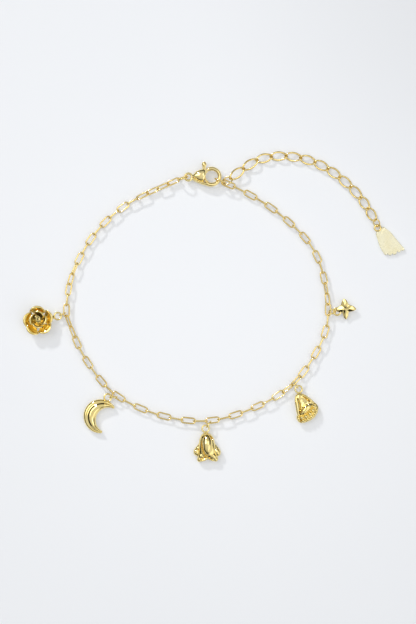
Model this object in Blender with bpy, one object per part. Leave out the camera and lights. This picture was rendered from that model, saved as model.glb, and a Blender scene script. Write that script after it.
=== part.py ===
"""A gold charm anklet, lying flat on the plane z = 0.

A loop of paperclip links runs from the jump ring in the clasp's hook, clockwise round the
ankle hollow, to the ring in the clasp's eyelet. Five charms hang from it. A curb-link extender
with a flat tag hangs from the hook's ring. Metres, +Z up, the origin at the middle of the
whole anklet's footprint.
"""

import math

import bmesh
import bpy
from mathutils import Matrix, Vector

MM = 0.001
UP = Vector((0.0, 0.0, 1.0))

# Clearance between neighbours that stay separate pieces, and the bite of soldered ones
CLEARANCE = 0.06 * MM
SOLDER_BITE = 0.09 * MM

# From the places below to the middle of the whole anklet's footprint
FOOTPRINT_SHIFT = Vector((0.294, 0.007, 0.0)) * MM

# Links of the loop
LOOP_WIRE = 0.42 * MM
LOOP_LINK_WIDTH = 1.90 * MM
LOOP_END_STATIONS = 5
WIRE_SIDES = 5

# The loop's route. Columns: joints passed since the hook's ring, x, y and z in millimetres
LOOP_ROUTE = [
    (0, 2.24, 34.635, 0.86),
    (2, 8.45, 31.75, 0.96),
    (5, 16.98, 26.48, 0.95),
    (9, 26.01, 17.92, 0.95),
    (12, 29.88, 9.44, 0.95),
    (16, 31.41, -2.20, 1.05),
    (19, 28.84, -11.20, 0.95),
    (23, 21.44, -21.55, 1.00),
    (27, 10.44, -28.09, 0.95),
    (31, -2.24, -31.52, 1.20),
    (35, -15.60, -29.78, 0.95),
    (39, -27.95, -23.85, 1.20),
    (43, -35.95, -14.02, 0.95),
    (46, -39.83, -5.40, 1.05),
    (47, -40.95, -2.49, 1.20),
    (48, -40.94, 0.55, 1.20),
    (51, -39.31, 9.14, 0.95),
    (55, -33.32, 20.03, 0.95),
    (59, -24.04, 28.53, 0.95),
    (64, -10.00, 35.27, 1.22),
]
# Turn of the links about the chain. Columns: link number, degrees. An even link is turned
# another 90, so 0 shows the odd links from above and the even ones edge-on
LOOP_TWIST = [(1, 0), (13, 0), (17, -90), (22, -90), (25, -180), (45, -180), (48, -270),
              (49, -270), (53, -360), (60, -360), (61, -405), (64, -405)]
LOOP_LINKS = LOOP_ROUTE[-1][0]
FIRST_LEFT_LINK = 32

# Extender: oval links twisted to lie flat
EXTENDER_WIRE = 0.46 * MM
EXTENDER_LINK_WIDTH = 2.76 * MM
EXTENDER_STATIONS = 12
EXTENDER_END_TWIST = math.radians(-45.0)
EXTENDER_CLEARANCE = 0.10 * MM
EXTENDER_LINKS = 12
# Route of the extender from the hook's ring. Columns: joints passed, x, y and z in millimetres
EXTENDER_ROUTE = [
    (0, 4.45, 35.55, 1.85),
    (2, 11.72, 40.64, 0.80),
    (4, 19.78, 41.80, 0.70),
    (6, 27.76, 40.05, 0.70),
    (8, 34.63, 35.90, 0.70),
    (10, 40.39, 30.22, 0.70),
    (12, 44.28, 24.05, 0.92),
]

# Jump rings
RING_WIRE = 0.40 * MM
RING_STATIONS = 12
HOOK_RING_WIRE = 0.45 * MM
HOOK_RING_RADIUS = 1.525 * MM
HOOK_RING_CENTRE = Vector((1.52, 34.90, 1.77)) * MM
HOOK_RING_HEADING = math.radians(-20.0)
EXTENDER_RING_RISE = math.radians(15.0)
EXTENDER_RING_TILT = math.radians(-48.0)
CLASP_RING_TILT = math.radians(-10.0)
STAR_RING_TILT = math.radians(40.0)

# Charms: the wire and the middle radius of the eyelet that each one carries
EYELET_WIRE = 0.48 * MM
EYELET_RADIUS = 0.97 * MM
EYELET_STATIONS = 12
EYELET_HEIGHT = 1.18 * MM
# Each charm hangs on the outer bar of one link. Columns: charm, link number, place on the bar
# as a share of half its straight length, and the heading of the eyelet in degrees
CHARM_HANGERS = {
    "rose": (48, -0.85, 203.0),
    "moon": (39, 0.80, 184.0),
    "bud": (31, 0.85, 235.0),
    "foot": (23, 0.70, 301.0),
    "star": (16, 0.60, 0.0),
}
CHARM_REACH = 0.85 * MM

# Charms. Their places are in millimetres from the middle of the eyelet, and their heights
# from the floor
MOON_HEADING = math.radians(-111.3)
MOON_OUTER_RADIUS = 4.70 * MM
MOON_INNER_RADIUS = 0.745 * MOON_OUTER_RADIUS
MOON_INNER_OFFSET = 0.528 * MOON_OUTER_RADIUS
MOON_OPENING_HEADING = math.radians(-26.6)
# Half angle of the opening, and turns of the sections that round each end
MOON_OPENING = math.radians(62.0)
MOON_END_TURNS = (math.radians(75.0), math.radians(45.0))
MOON_HALF_HEIGHT = 1.05 * MM
MOON_RIM = 0.16 * MM
MOON_PUFF = 0.62
MOON_STATIONS = 11

STAR_CENTRE = (2.16, 0.94)
# Columns: heading of a tip in degrees, its reach
STAR_TIPS = [(-4.0, 2.95), (97.0, 2.45), (193.0, 2.60), (275.0, 3.10)]
STAR_WAIST = 1.50
STAR_EDGE_STEPS = 6
STAR_THICKNESS = 2.50
STAR_EDGE = 0.80

FOOT_MIDDLE = (1.7, -5.4)
FOOT_OUTLINE = [
    (0.47, -0.97), (-0.55, -1.35), (-1.00, -2.19), (-0.83, -3.96), (-0.58, -5.60),
    (-0.42, -7.23), (-0.25, -8.20), (0.55, -8.85), (1.60, -8.75), (2.70, -8.15),
    (3.75, -7.30), (4.60, -6.25), (5.20, -5.10), (4.90, -4.20), (4.04, -3.49),
    (2.83, -2.35), (1.61, -1.52),
]
# Columns: share of the outline, height, share of the relief
FOOT_SECTIONS = [
    (0.80, 0.00, 0.0), (0.97, 0.45, 0.0), (1.00, 1.30, 0.1), (0.94, 2.05, 0.5),
    (0.74, 2.55, 0.9), (0.42, 2.70, 1.0), (0.12, 2.70, 1.0),
]
FOOT_BALL_Y = -8.0
FOOT_BALL_RISE = 0.45
FOOT_ARCH = (1.2, -5.0)
FOOT_ARCH_DEPTH = 0.60
# Columns: x, y, half length, half width, heading in degrees
FOOT_TOES = [
    (0.75, -8.60, 1.12, 0.72, -80.0),
    (2.15, -8.30, 0.92, 0.52, -70.0),
    (3.30, -7.60, 0.90, 0.50, -60.0),
    (4.25, -6.72, 0.86, 0.48, -50.0),
    (4.85, -5.62, 0.82, 0.48, -38.0),
]
FOOT_TOE_HEIGHT = 2.0
FOOT_TOE_LIFT = 0.55

# Columns: y, x, half width, half height
BUD_SECTIONS = [
    (-0.95, 0.10, 0.70, 0.75), (-1.35, 0.12, 1.35, 1.30), (-2.10, 0.15, 2.00, 1.70),
    (-3.20, 0.20, 2.45, 1.90), (-4.60, 0.30, 2.70, 1.95), (-6.00, 0.40, 2.75, 1.85),
    (-7.20, 0.48, 2.60, 1.60), (-8.00, 0.52, 2.20, 1.25),
]
# Columns: x, y, z, half sizes, heading and lean in degrees
BUD_PETALS = [
    (0.26, -4.45, 2.75, (1.00, 2.75, 1.45), 0.0, -3.0),
    (-1.30, -7.40, 1.75, (0.75, 2.05, 1.20), -9.0, 0.0),
    (2.20, -7.30, 1.75, (0.75, 2.00, 1.20), 12.0, 0.0),
    (-2.75, -6.30, 1.10, (0.80, 1.30, 0.95), -20.0, 0.0),
    (3.30, -6.00, 1.10, (0.80, 1.40, 0.95), 28.0, 0.0),
    (0.30, -7.60, 0.95, (1.30, 1.10, 0.80), 0.0, 0.0),
]

ROSE_CENTRE = (-5.35, -1.30)
ROSE_PETAL_THICKNESS = 0.36 * MM
ROSE_STEM_WIRE = 0.90 * MM
# Columns: height, radius
ROSE_CALYX = [(0.0, 0.80), (0.35, 1.30), (1.10, 1.90), (1.60, 1.75), (2.60, 0.95), (4.70, 0.62)]
ROSE_OUTER = {
    "heading": 17.0, "spread": 40.0, "base": 1.0, "reach": 3.85, "low": 0.75,
    "high": 3.90, "round": 0.16, "spiral": 0.28, "flare": 0.9,
}
ROSE_INNER = {
    "heading": 60.0, "spread": 58.0, "base": 1.0, "reach": 2.05, "low": 1.0,
    "high": 4.60, "round": 0.10, "spiral": 0.32, "flare": 0.5,
}

# Lobster clasp, in its own plane: u from the eyelet to the hook, v to its thumb side
CLASP_EYELET_CENTRE = Vector((-7.23, 35.93, 1.32)) * MM
CLASP_HEADING = math.radians(4.0)
CLASP_EYELET_RADIUS = 0.97 * MM
CLASP_EYELET_HALF_WIDTH = 0.34 * MM
CLASP_EYELET_HALF_THICKNESS = 0.48 * MM
HOOK_CENTRE = Vector((6.43, -0.34)) * MM
HOOK_INNER_RADIUS = 1.66 * MM
HOOK_TIP_ANGLE = math.radians(120.0)
CLASP_HALF_THICKNESS = 1.30 * MM
CLASP_SIDES = 10
PIN_PLACE = Vector((5.00, -1.80)) * MM
PIN_RADIUS = 0.24 * MM
PIN_LENGTH = 2.00 * MM
PIN_CLEARANCE = 0.05 * MM
LEVER_THICKNESS = 0.80 * MM
LEVER_BOSS_RADIUS = 0.48 * MM
LEVER_RANGE = math.radians(20.0)
TAB_THICKNESS = 1.20 * MM
SLOT_CLEARANCE = 0.10 * MM

# Clasp, in millimetres in its own plane. Bulb columns: u, low v, high v, half thickness
BULB_SECTIONS = [
    (0.95, -0.35, 0.35, 0.45), (1.50, -0.60, 0.78, 0.75), (2.25, -1.05, 1.45, 1.05),
    (3.00, -1.50, 1.85, 1.24), (3.70, -1.62, 2.02, 1.30), (4.25, -1.50, 2.06, 1.24),
    (4.68, -1.15, 1.92, 1.02),
]
# Back band columns: u, v, half width, half thickness
CLASP_BAND = [
    (0.95, -0.50, 0.28, 0.45), (1.80, -1.10, 0.34, 0.60), (2.90, -1.62, 0.40, 0.80),
    (3.90, -1.95, 0.52, 0.95),
]
# Hook columns: angle round the hook's middle in degrees, half width, half thickness
HOOK_SECTIONS = [
    (234.0, 0.66, 1.00), (256.0, 0.60, 0.88), (280.0, 0.55, 0.74), (303.0, 0.53, 0.66),
    (326.0, 0.52, 0.62), (349.0, 0.52, 0.62), (12.0, 0.52, 0.62), (35.0, 0.53, 0.63),
    (58.0, 0.54, 0.64), (80.0, 0.55, 0.64), (101.0, 0.54, 0.62), (120.0, 0.50, 0.58),
]
# Lever: angles of its inner edge round the hook's middle, and corners of its tab and back
LEVER_HOLE_MARGIN = 0.04 * MM
LEVER_HOLE_ANGLES = (214.0, 198.0, 182.0, 166.0, 150.0, 136.0)
LEVER_NOSE_GAP = 0.10 * MM
LEVER_TAB = [(4.95, 2.45), (5.12, 3.05), (4.95, 3.70), (4.45, 3.85), (4.05, 3.45), (4.00, 2.70)]
LEVER_BACK = [(4.02, 2.00), (4.00, 1.00), (4.04, 0.00), (4.20, -1.00), (4.58, -1.62)]
LEVER_TAB_MIDDLE = (4.58, 3.12)
LEVER_TAB_HALF_SIZES = (0.64, 0.86)
SLOT_SLACK = math.radians(1.6)
SLOT_TOP = 5.2 * MM

# Tag
TAG_EYELET_CENTRE = Vector((45.10, 21.85, 0.74)) * MM
TAG_EYELET_RADIUS = 0.85 * MM
TAG_RING_WIRE = 0.36 * MM
TAG_RING_TILT = math.radians(40.0)
TAG_THICKNESS = 0.80 * MM
# Outline round the foot-shaped plate in millimetres from the eyelet, toes at the far end
TAG_OUTLINE = [
    (-0.36, -1.25), (0.00, -3.25), (0.70, -5.35), (1.80, -7.15), (2.30, -7.50), (2.75, -7.00),
    (3.05, -7.50), (3.70, -7.50), (4.05, -7.00), (4.45, -7.40), (5.10, -7.15), (5.42, -6.40),
    (5.85, -6.75), (6.30, -6.50), (6.42, -6.22), (7.05, -6.25), (7.40, -5.75), (6.06, -4.15),
    (5.00, -2.85), (3.60, -1.15), (2.20, -0.05), (1.50, 0.25),
]

GOLD = (0.86, 0.62, 0.22, 1.0)
DEEP_GOLD = (0.80, 0.50, 0.12, 1.0)


def clear_scene():
    for obj in list(bpy.data.objects):
        bpy.data.objects.remove(obj, do_unlink=True)


def polished(name, colour, roughness):
    """A polished metal of one colour."""
    material = bpy.data.materials.new(name)
    material.use_nodes = True
    shader = material.node_tree.nodes["Principled BSDF"]
    shader.inputs["Base Color"].default_value = colour
    shader.inputs["Metallic"].default_value = 1.0
    shader.inputs["Roughness"].default_value = roughness
    return material


def add_object(name, bm, material):
    """The bmesh as a smooth-shaded object of the scene."""
    bmesh.ops.recalc_face_normals(bm, faces=bm.faces)
    mesh = bpy.data.meshes.new(name)
    bm.to_mesh(mesh)
    bm.free()
    mesh.materials.append(material)
    mesh.shade_smooth()
    mesh.set_sharp_from_angle(angle=math.radians(40.0))
    obj = bpy.data.objects.new(name, mesh)
    bpy.context.scene.collection.objects.link(obj)
    return obj


def helper(name, bm, material):
    """An object that only shapes another one."""
    obj = add_object(name, bm, material)
    obj.hide_render = True
    obj.display_type = "WIRE"
    return obj


def combine(obj, other, operation):
    modifier = obj.modifiers.new(other.name, "BOOLEAN")
    modifier.operation = operation
    modifier.solver = "EXACT"
    modifier.object = other


def oval_section(centre, side, normal, half_width, half_height, sides):
    """Corners of an oval cross-section, the first on the side direction."""
    return [
        centre
        + side * (half_width * math.cos(2 * math.pi * i / sides))
        + normal * (half_height * math.sin(2 * math.pi * i / sides))
        for i in range(sides)
    ]


def add_skin(bm, sections, closed):
    """Faces between neighbouring cross-sections, and end caps unless the sections close."""
    rings = [[bm.verts.new(corner) for corner in section] for section in sections]
    pairs = list(zip(rings, rings[1:]))
    if closed:
        pairs.append((rings[-1], rings[0]))
    for a, b in pairs:
        for i in range(len(a)):
            j = (i + 1) % len(a)
            bm.faces.new((a[i], a[j], b[j], b[i]))
    if not closed:
        bm.faces.new(rings[0])
        bm.faces.new(list(reversed(rings[-1])))


def add_wire_loop(bm, stations, wire, sides=WIRE_SIDES):
    """A closed loop of round wire. A station is a point, its outward side and its normal."""
    add_skin(
        bm,
        [
            oval_section(point, -outward, normal, wire / 2, wire / 2, sides)
            for point, outward, normal in stations
        ],
        closed=True,
    )


def add_ring(bm, centre, axis_a, axis_b, radius, wire, count=RING_STATIONS):
    """A round wire ring in the plane of two unit axes."""
    normal = axis_a.cross(axis_b).normalized()
    stations = []
    for i in range(count):
        angle = 2 * math.pi * i / count
        outward = axis_a * math.cos(angle) + axis_b * math.sin(angle)
        stations.append((centre + outward * radius, outward, normal))
    add_wire_loop(bm, stations, wire)


def add_ellipsoid(bm, centre, half_sizes, turn=0.0, segments=10, rings=6, lean=0.0):
    matrix = (
        Matrix.Translation(centre)
        @ Matrix.Rotation(turn, 4, "Z")
        @ Matrix.Rotation(lean, 4, "X")
        @ Matrix.Diagonal((*half_sizes, 1.0))
    )
    bmesh.ops.create_uvsphere(
        bm, u_segments=segments, v_segments=rings, radius=1.0, matrix=matrix
    )


def add_plate(bm, outline, low, high):
    """A flat plate between two heights with the given outline."""
    add_skin(
        bm,
        [[Vector((x, y, z)) for x, y in outline] for z in (low, high)],
        closed=False,
    )


def smooth_route(rows):
    """Joints along a Catmull-Rom curve through the rows, equally spaced between rows."""
    points = [Vector(row[1:]) * MM for row in rows]
    numbers = [row[0] for row in rows]
    before = points[0] * 2 - points[1]
    after = points[-1] * 2 - points[-2]
    padded = [before, *points, after]
    joints = [points[0]]
    fine = 24
    for i in range(len(points) - 1):
        p0, p1, p2, p3 = padded[i : i + 4]
        curve = []
        for k in range(fine + 1):
            t = k / fine
            curve.append(
                0.5
                * (
                    2 * p1
                    + (p2 - p0) * t
                    + (2 * p0 - 5 * p1 + 4 * p2 - p3) * t**2
                    + (3 * p1 - p0 - 3 * p2 + p3) * t**3
                )
            )
        joints += equal_steps(curve, numbers[i + 1] - numbers[i])
    return joints


def equal_steps(curve, count):
    """The points that divide a finely drawn curve into equal stretches, its start left out."""
    lengths = [0.0]
    for a, b in zip(curve, curve[1:]):
        lengths.append(lengths[-1] + (b - a).length)
    found = []
    k = 0
    for step in range(1, count + 1):
        wanted = lengths[-1] * step / count
        while k < len(lengths) - 2 and lengths[k + 1] < wanted:
            k += 1
        share = (wanted - lengths[k]) / (lengths[k + 1] - lengths[k])
        found.append(curve[k].lerp(curve[k + 1], share))
    return found


def link_twist(number):
    """The turn of one loop link about the chain, in radians."""
    for (low, start), (high, end) in zip(LOOP_TWIST, LOOP_TWIST[1:]):
        if low <= number <= high:
            turn = start + (end - start) * (number - low) / (high - low)
            return math.radians(turn + (90 if number % 2 == 0 else 0))
    return 0.0


def link_frame(start, end, roll):
    """Middle, direction, width direction and normal of a link between two joints."""
    along = (end - start).normalized()
    left = UP.cross(along).normalized()
    upright = along.cross(left)
    across = left * math.cos(roll) + upright * math.sin(roll)
    normal = along.cross(across)
    return (start + end) / 2, along, across, normal


def add_paperclip_link(bm, start, end, roll, reach_start, reach_end):
    """A long link with round ends whose wire passes each joint by the given reach."""
    start = start - (end - start).normalized() * reach_start
    end = end + (end - start).normalized() * reach_end
    middle, along, across, normal = link_frame(start, end, roll)
    half_width = (LOOP_LINK_WIDTH - LOOP_WIRE) / 2
    straight = (end - start).length / 2 - half_width
    stations = []
    for side in (1, -1):
        for i in range(LOOP_END_STATIONS):
            angle = math.pi * (i / (LOOP_END_STATIONS - 1) - 0.5)
            outward = side * (along * math.cos(angle) + across * math.sin(angle))
            point = middle + along * (side * straight) + outward * half_width
            stations.append((point, outward, normal))
    add_wire_loop(bm, stations, LOOP_WIRE)


def loop_joints():
    return smooth_route(LOOP_ROUTE)


def build_loop(gold):
    """The loop's links in two chains of soldered links, which interlock where they meet."""
    joints = loop_joints()
    soldered = (LOOP_WIRE - SOLDER_BITE) / 2
    free = (LOOP_WIRE + CLEARANCE) / 2
    halves = {
        "chain_right": range(1, FIRST_LEFT_LINK),
        "chain_left": range(FIRST_LEFT_LINK, LOOP_LINKS + 1),
    }
    for name, numbers in halves.items():
        meshes = (bmesh.new(), bmesh.new())
        for number in numbers:
            add_paperclip_link(
                meshes[(number - numbers[0]) % 2],
                joints[number - 1],
                joints[number],
                link_twist(number),
                free if number == numbers[0] else soldered,
                free if number == numbers[-1] else soldered,
            )
        chain = add_object(name, meshes[0], gold)
        between = helper(name + "_between", meshes[1], gold)
        combine(chain, between, "UNION")


def extender_joints():
    return smooth_route(EXTENDER_ROUTE)


def build_extender(gold):
    """Curb links: ovals whose ends turn opposite ways, so that neighbours cross squarely."""
    joints = extender_joints()
    reach = (EXTENDER_WIRE + EXTENDER_CLEARANCE) / 2
    half_width = (EXTENDER_LINK_WIDTH - EXTENDER_WIRE) / 2
    for number in range(1, EXTENDER_LINKS + 1):
        start, end = joints[number - 1], joints[number]
        middle, along, across, normal = link_frame(start, end, 0.0)
        half_length = (end - start).length / 2 + reach
        stations = []
        for i in range(EXTENDER_STATIONS):
            angle = 2 * math.pi * i / EXTENDER_STATIONS
            x = half_length * math.cos(angle)
            y = half_width * math.sin(angle)
            twist = EXTENDER_END_TWIST * math.cos(angle)
            turned = across * math.cos(twist) + normal * math.sin(twist)
            level = normal * math.cos(twist) - across * math.sin(twist)
            outward = along * (math.cos(angle) / half_length) + turned * (
                math.sin(angle) / half_width
            )
            point = middle + along * x + turned * y
            stations.append((point, outward.normalized(), level))
        bm = bmesh.new()
        add_wire_loop(bm, stations, EXTENDER_WIRE)
        add_object(f"extender_link_{number:02d}", bm, gold)


def ring_between(name, held, wire, tilt, gold):
    """A jump ring round two held wires. It leans by tilt from upright and clears the floor.

    held is two pairs of a wire's middle and its thickness across the ring.
    """
    (a, thick_a), (b, thick_b) = held
    along = (b - a).normalized()
    start = a - along * (thick_a / 2 + CLEARANCE + wire / 2)
    end = b + along * (thick_b / 2 + CLEARANCE + wire / 2)
    level = UP.cross(along).normalized()
    leaning = along.cross(level) * math.cos(tilt) + level * math.sin(tilt)
    half = (end - start).length / 2
    lift = 0.0
    for _ in range(6):
        radius = math.hypot(half, lift)
        needed = radius * math.cos(tilt) + wire / 2 - (start.z + end.z) / 2
        lift = max(lift, needed / math.cos(tilt))
    bm = bmesh.new()
    add_ring(bm, (start + end) / 2 + leaning * lift, along, leaning, radius, wire)
    return add_object(name, bm, gold)


def clasp_axis():
    return Vector((math.cos(CLASP_HEADING), math.sin(CLASP_HEADING), 0.0))


def hook_ring_heading():
    return Vector((math.cos(HOOK_RING_HEADING), math.sin(HOOK_RING_HEADING), 0.0))


def build_end_rings(gold):
    """The ring in the clasp's hook, the ring at its eyelet and the extender's first ring."""
    heading = hook_ring_heading()
    bm = bmesh.new()
    add_ring(bm, HOOK_RING_CENTRE, heading, UP, HOOK_RING_RADIUS, HOOK_RING_WIRE)
    add_object("hook_ring", bm, gold)

    loop = loop_joints()
    loop_end = loop[-1] + (loop[-1] - loop[-2]).normalized() * (LOOP_WIRE + CLEARANCE) / 2
    eyelet_wall = CLASP_EYELET_CENTRE - clasp_axis() * CLASP_EYELET_RADIUS
    held = ((loop_end, LOOP_WIRE), (eyelet_wall, 2 * CLASP_EYELET_HALF_THICKNESS))
    ring_between("clasp_ring", held, RING_WIRE, CLASP_RING_TILT, gold)

    joints = extender_joints()
    reach = (EXTENDER_WIRE + EXTENDER_CLEARANCE) / 2
    rise = heading * math.cos(EXTENDER_RING_RISE) + UP * math.sin(EXTENDER_RING_RISE)
    first_end = joints[0] - (joints[1] - joints[0]).normalized() * reach
    held = (
        (HOOK_RING_CENTRE + rise * HOOK_RING_RADIUS, HOOK_RING_WIRE),
        (first_end, EXTENDER_WIRE),
    )
    ring_between("extender_ring", held, RING_WIRE, EXTENDER_RING_TILT, gold)


def charm_place(charm):
    """Where a charm hangs on a link's outer bar, its eyelet's middle, and the cosine between.

    The cosine is 1 where the jump ring crosses the bar squarely.
    """
    number, share, heading = CHARM_HANGERS[charm]
    joints = loop_joints()
    start, end = joints[number - 1], joints[number]
    middle, along, across, _ = link_frame(start, end, link_twist(number))
    half_width = (LOOP_LINK_WIDTH - LOOP_WIRE) / 2
    straight = (end - start).length / 2 + LOOP_WIRE / 2 - half_width
    towards = Vector(
        (math.cos(math.radians(heading)), math.sin(math.radians(heading)), 0.0)
    )
    side = 1 if across.dot(towards) > 0 else -1
    bar = middle + along * (share * straight) + across * (side * half_width)
    eyelet = bar + towards * (CHARM_REACH + EYELET_RADIUS)
    eyelet.z = EYELET_HEIGHT
    squareness = UP.cross(along).normalized().dot(towards)
    return bar, eyelet, abs(squareness)


def hang_charm(charm, eyelet, tilt, gold):
    """The jump ring from a link's bar to a charm's eyelet."""
    bar, _, squareness = charm_place(charm)
    wall = eyelet + Vector((bar.x - eyelet.x, bar.y - eyelet.y, 0.0)).normalized() * (
        EYELET_RADIUS
    )
    spare = 2 * CLEARANCE + RING_WIRE
    held = (
        (bar, (LOOP_WIRE + spare) / squareness - spare),
        (wall, EYELET_WIRE),
    )
    ring_between(charm + "_ring", held, RING_WIRE, tilt, gold)


def add_eyelet(bm, centre, radius=EYELET_RADIUS):
    x_axis, y_axis = Vector((1.0, 0.0, 0.0)), Vector((0.0, 1.0, 0.0))
    add_ring(bm, centre, x_axis, y_axis, radius, EYELET_WIRE, EYELET_STATIONS)


def finish_charm(name, bodies, eyelet, gold):
    """One solid from a charm's overlapping bodies and its eyelet, each a bmesh."""
    ring = bmesh.new()
    add_eyelet(ring, eyelet)
    charm = add_object(name, bodies[0], gold)
    for i, body in enumerate([*bodies[1:], ring]):
        combine(charm, helper(f"{name}_piece_{i + 1:02d}", body, gold), "UNION")
    return charm


def in_charm(eyelet, x, y, z):
    """A place given in millimetres from the eyelet's middle, and from the floor."""
    return Vector((eyelet.x + x * MM, eyelet.y + y * MM, z * MM))


def build_moon(gold):
    """A puffed crescent between two circles, fat in the middle and round at both ends."""
    _, eyelet, _ = charm_place("moon")
    reach = EYELET_RADIUS + MOON_OUTER_RADIUS - SOLDER_BITE
    middle = eyelet + reach * Vector((math.cos(MOON_HEADING), math.sin(MOON_HEADING), 0.0))
    middle.z = MOON_HALF_HEIGHT
    # Columns: turn from the opening, how far that turn is on to the end, share of the width
    stations = []
    for i in range(MOON_STATIONS):
        turn = MOON_OPENING + (2 * math.pi - 2 * MOON_OPENING) * i / (MOON_STATIONS - 1)
        stations.append((turn, 0.0, 1.0))
    before = [(MOON_OPENING, -math.sin(t), math.cos(t)) for t in MOON_END_TURNS]
    after = [(stations[-1][0], math.sin(t), math.cos(t)) for t in reversed(MOON_END_TURNS)]
    sections = []
    for turn, onward, share in [*before, *stations, *after]:
        near = MOON_INNER_OFFSET * math.cos(turn) + math.sqrt(
            MOON_INNER_RADIUS**2 - (MOON_INNER_OFFSET * math.sin(turn)) ** 2
        )
        half_width = (MOON_OUTER_RADIUS - near) / 2
        radius = (MOON_OUTER_RADIUS + near) / 2
        angle = MOON_OPENING_HEADING + turn + onward * half_width / radius
        side = Vector((math.cos(angle), math.sin(angle), 0.0))
        half_height = min(half_width * MOON_PUFF + MOON_RIM, MOON_HALF_HEIGHT)
        place = middle + side * radius
        sections.append(
            oval_section(place, side, UP, half_width * share, half_height * share, 10)
        )
    crescent = bmesh.new()
    add_skin(crescent, sections, closed=False)
    finish_charm("moon_charm", [crescent], eyelet, gold)
    hang_charm("moon", eyelet, 0.0, gold)


def star_outline():
    """The star's outline round its middle: hollow curves from tip to tip past the waist."""
    tips = [
        Vector((math.cos(math.radians(turn)) * reach, math.sin(math.radians(turn)) * reach))
        for turn, reach in STAR_TIPS
    ]
    outline = []
    for i, tip in enumerate(tips):
        other = tips[(i + 1) % len(tips)]
        waist = (tip.normalized() + other.normalized()).normalized() * STAR_WAIST
        control = 2 * waist - (tip + other) / 2
        for k in range(STAR_EDGE_STEPS):
            t = k / STAR_EDGE_STEPS
            outline.append(tip * (1 - t) ** 2 + control * (2 * t * (1 - t)) + other * t**2)
    return outline


def build_star(gold):
    """Four points with hollow edges, ridged to a peak on both faces."""
    _, eyelet, _ = charm_place("star")
    bm = bmesh.new()
    rims = []
    for side in (-1, 1):
        middle = in_charm(eyelet, *STAR_CENTRE, (STAR_THICKNESS + side * STAR_EDGE) / 2)
        rims.append([bm.verts.new(middle + spot.to_3d() * MM) for spot in star_outline()])
    low, high = rims
    bottom = bm.verts.new(in_charm(eyelet, *STAR_CENTRE, 0.0))
    top = bm.verts.new(in_charm(eyelet, *STAR_CENTRE, STAR_THICKNESS))
    for i in range(len(low)):
        j = (i + 1) % len(low)
        bm.faces.new((low[i], low[j], high[j], high[i]))
        bm.faces.new((high[i], high[j], top))
        bm.faces.new((low[j], low[i], bottom))
    finish_charm("star_charm", [bm], eyelet, gold)
    hang_charm("star", eyelet, STAR_RING_TILT, gold)


def build_foot(gold):
    """A plump sole with its ball raised, a hollow arch and five toes."""
    _, eyelet, _ = charm_place("foot")
    middle = Vector((*FOOT_MIDDLE, 0.0))
    sections = []
    for share, height, relief in FOOT_SECTIONS:
        section = []
        for x, y in FOOT_OUTLINE:
            spot = middle + (Vector((x, y, 0.0)) - middle) * share
            ball = math.exp(-((spot.y - FOOT_BALL_Y - 0.5 * spot.x) ** 2))
            arch = math.exp(-((spot.x - FOOT_ARCH[0]) ** 2 + (spot.y - FOOT_ARCH[1]) ** 2))
            level = height + relief * (FOOT_BALL_RISE * ball - FOOT_ARCH_DEPTH * arch)
            section.append(in_charm(eyelet, spot.x, spot.y, level))
        sections.append(section)
    sole = bmesh.new()
    add_skin(sole, sections, closed=False)
    toes = []
    for x, y, half_length, half_width, heading in FOOT_TOES:
        toe = bmesh.new()
        sizes = (half_length * MM, half_width * MM, FOOT_TOE_HEIGHT / 2 * MM)
        centre = in_charm(eyelet, x, y, FOOT_TOE_HEIGHT / 2 + FOOT_TOE_LIFT)
        add_ellipsoid(toe, centre, sizes, math.radians(heading), 8, 6)
        toes.append(toe)
    finish_charm("foot_charm", [sole, *toes], eyelet, gold)
    hang_charm("foot", eyelet, 0.0, gold)


def build_bud(gold):
    """A hanging bell flower: a dome, a long front petal and flared petals round its mouth."""
    _, eyelet, _ = charm_place("bud")
    bell = bmesh.new()
    x_axis = Vector((1.0, 0.0, 0.0))
    sections = []
    for y, x, half_width, half_height in BUD_SECTIONS:
        centre = in_charm(eyelet, x, y, half_height)
        sections.append(
            oval_section(centre, x_axis, UP, half_width * MM, half_height * MM, 12)
        )
    add_skin(bell, sections, closed=False)
    bodies = [bell]
    for x, y, z, sizes, heading, lean in BUD_PETALS:
        petal = bmesh.new()
        add_ellipsoid(
            petal,
            in_charm(eyelet, x, y, z),
            [size * MM for size in sizes],
            math.radians(heading),
            8,
            6,
            math.radians(lean),
        )
        bodies.append(petal)
    finish_charm("bud_charm", bodies, eyelet, gold)
    hang_charm("bud", eyelet, 0.0, gold)


def rose_petal(centre, petal, columns, rows):
    """A cupped petal: a bowl-shaped sheet round the rose's axis, given its thickness."""
    bm = bmesh.new()
    grid = []
    for row in range(rows + 1):
        t = row / rows
        line = []
        for column in range(columns + 1):
            s = 2 * column / columns - 1
            rise = t * (1 - petal["round"] * s * s)
            swing = math.radians(petal["heading"] + petal["spread"] * s * (0.45 + 0.55 * t))
            reach = petal["base"] + (petal["reach"] - petal["base"]) * math.sin(
                rise * math.pi / 2
            )
            reach += petal["spiral"] * s + petal["flare"] * max(0.0, rise - 0.7)
            height = petal["low"] + (petal["high"] - petal["low"]) * (
                1 - math.cos(rise * math.pi / 2)
            )
            line.append(
                bm.verts.new(
                    centre
                    + Vector((math.cos(swing), math.sin(swing), 0.0)) * reach * MM
                    + UP * height * MM
                )
            )
        grid.append(line)
    for lower, upper in zip(grid, grid[1:]):
        for i in range(columns):
            bm.faces.new((lower[i], lower[i + 1], upper[i + 1], upper[i]))
    return bm


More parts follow.
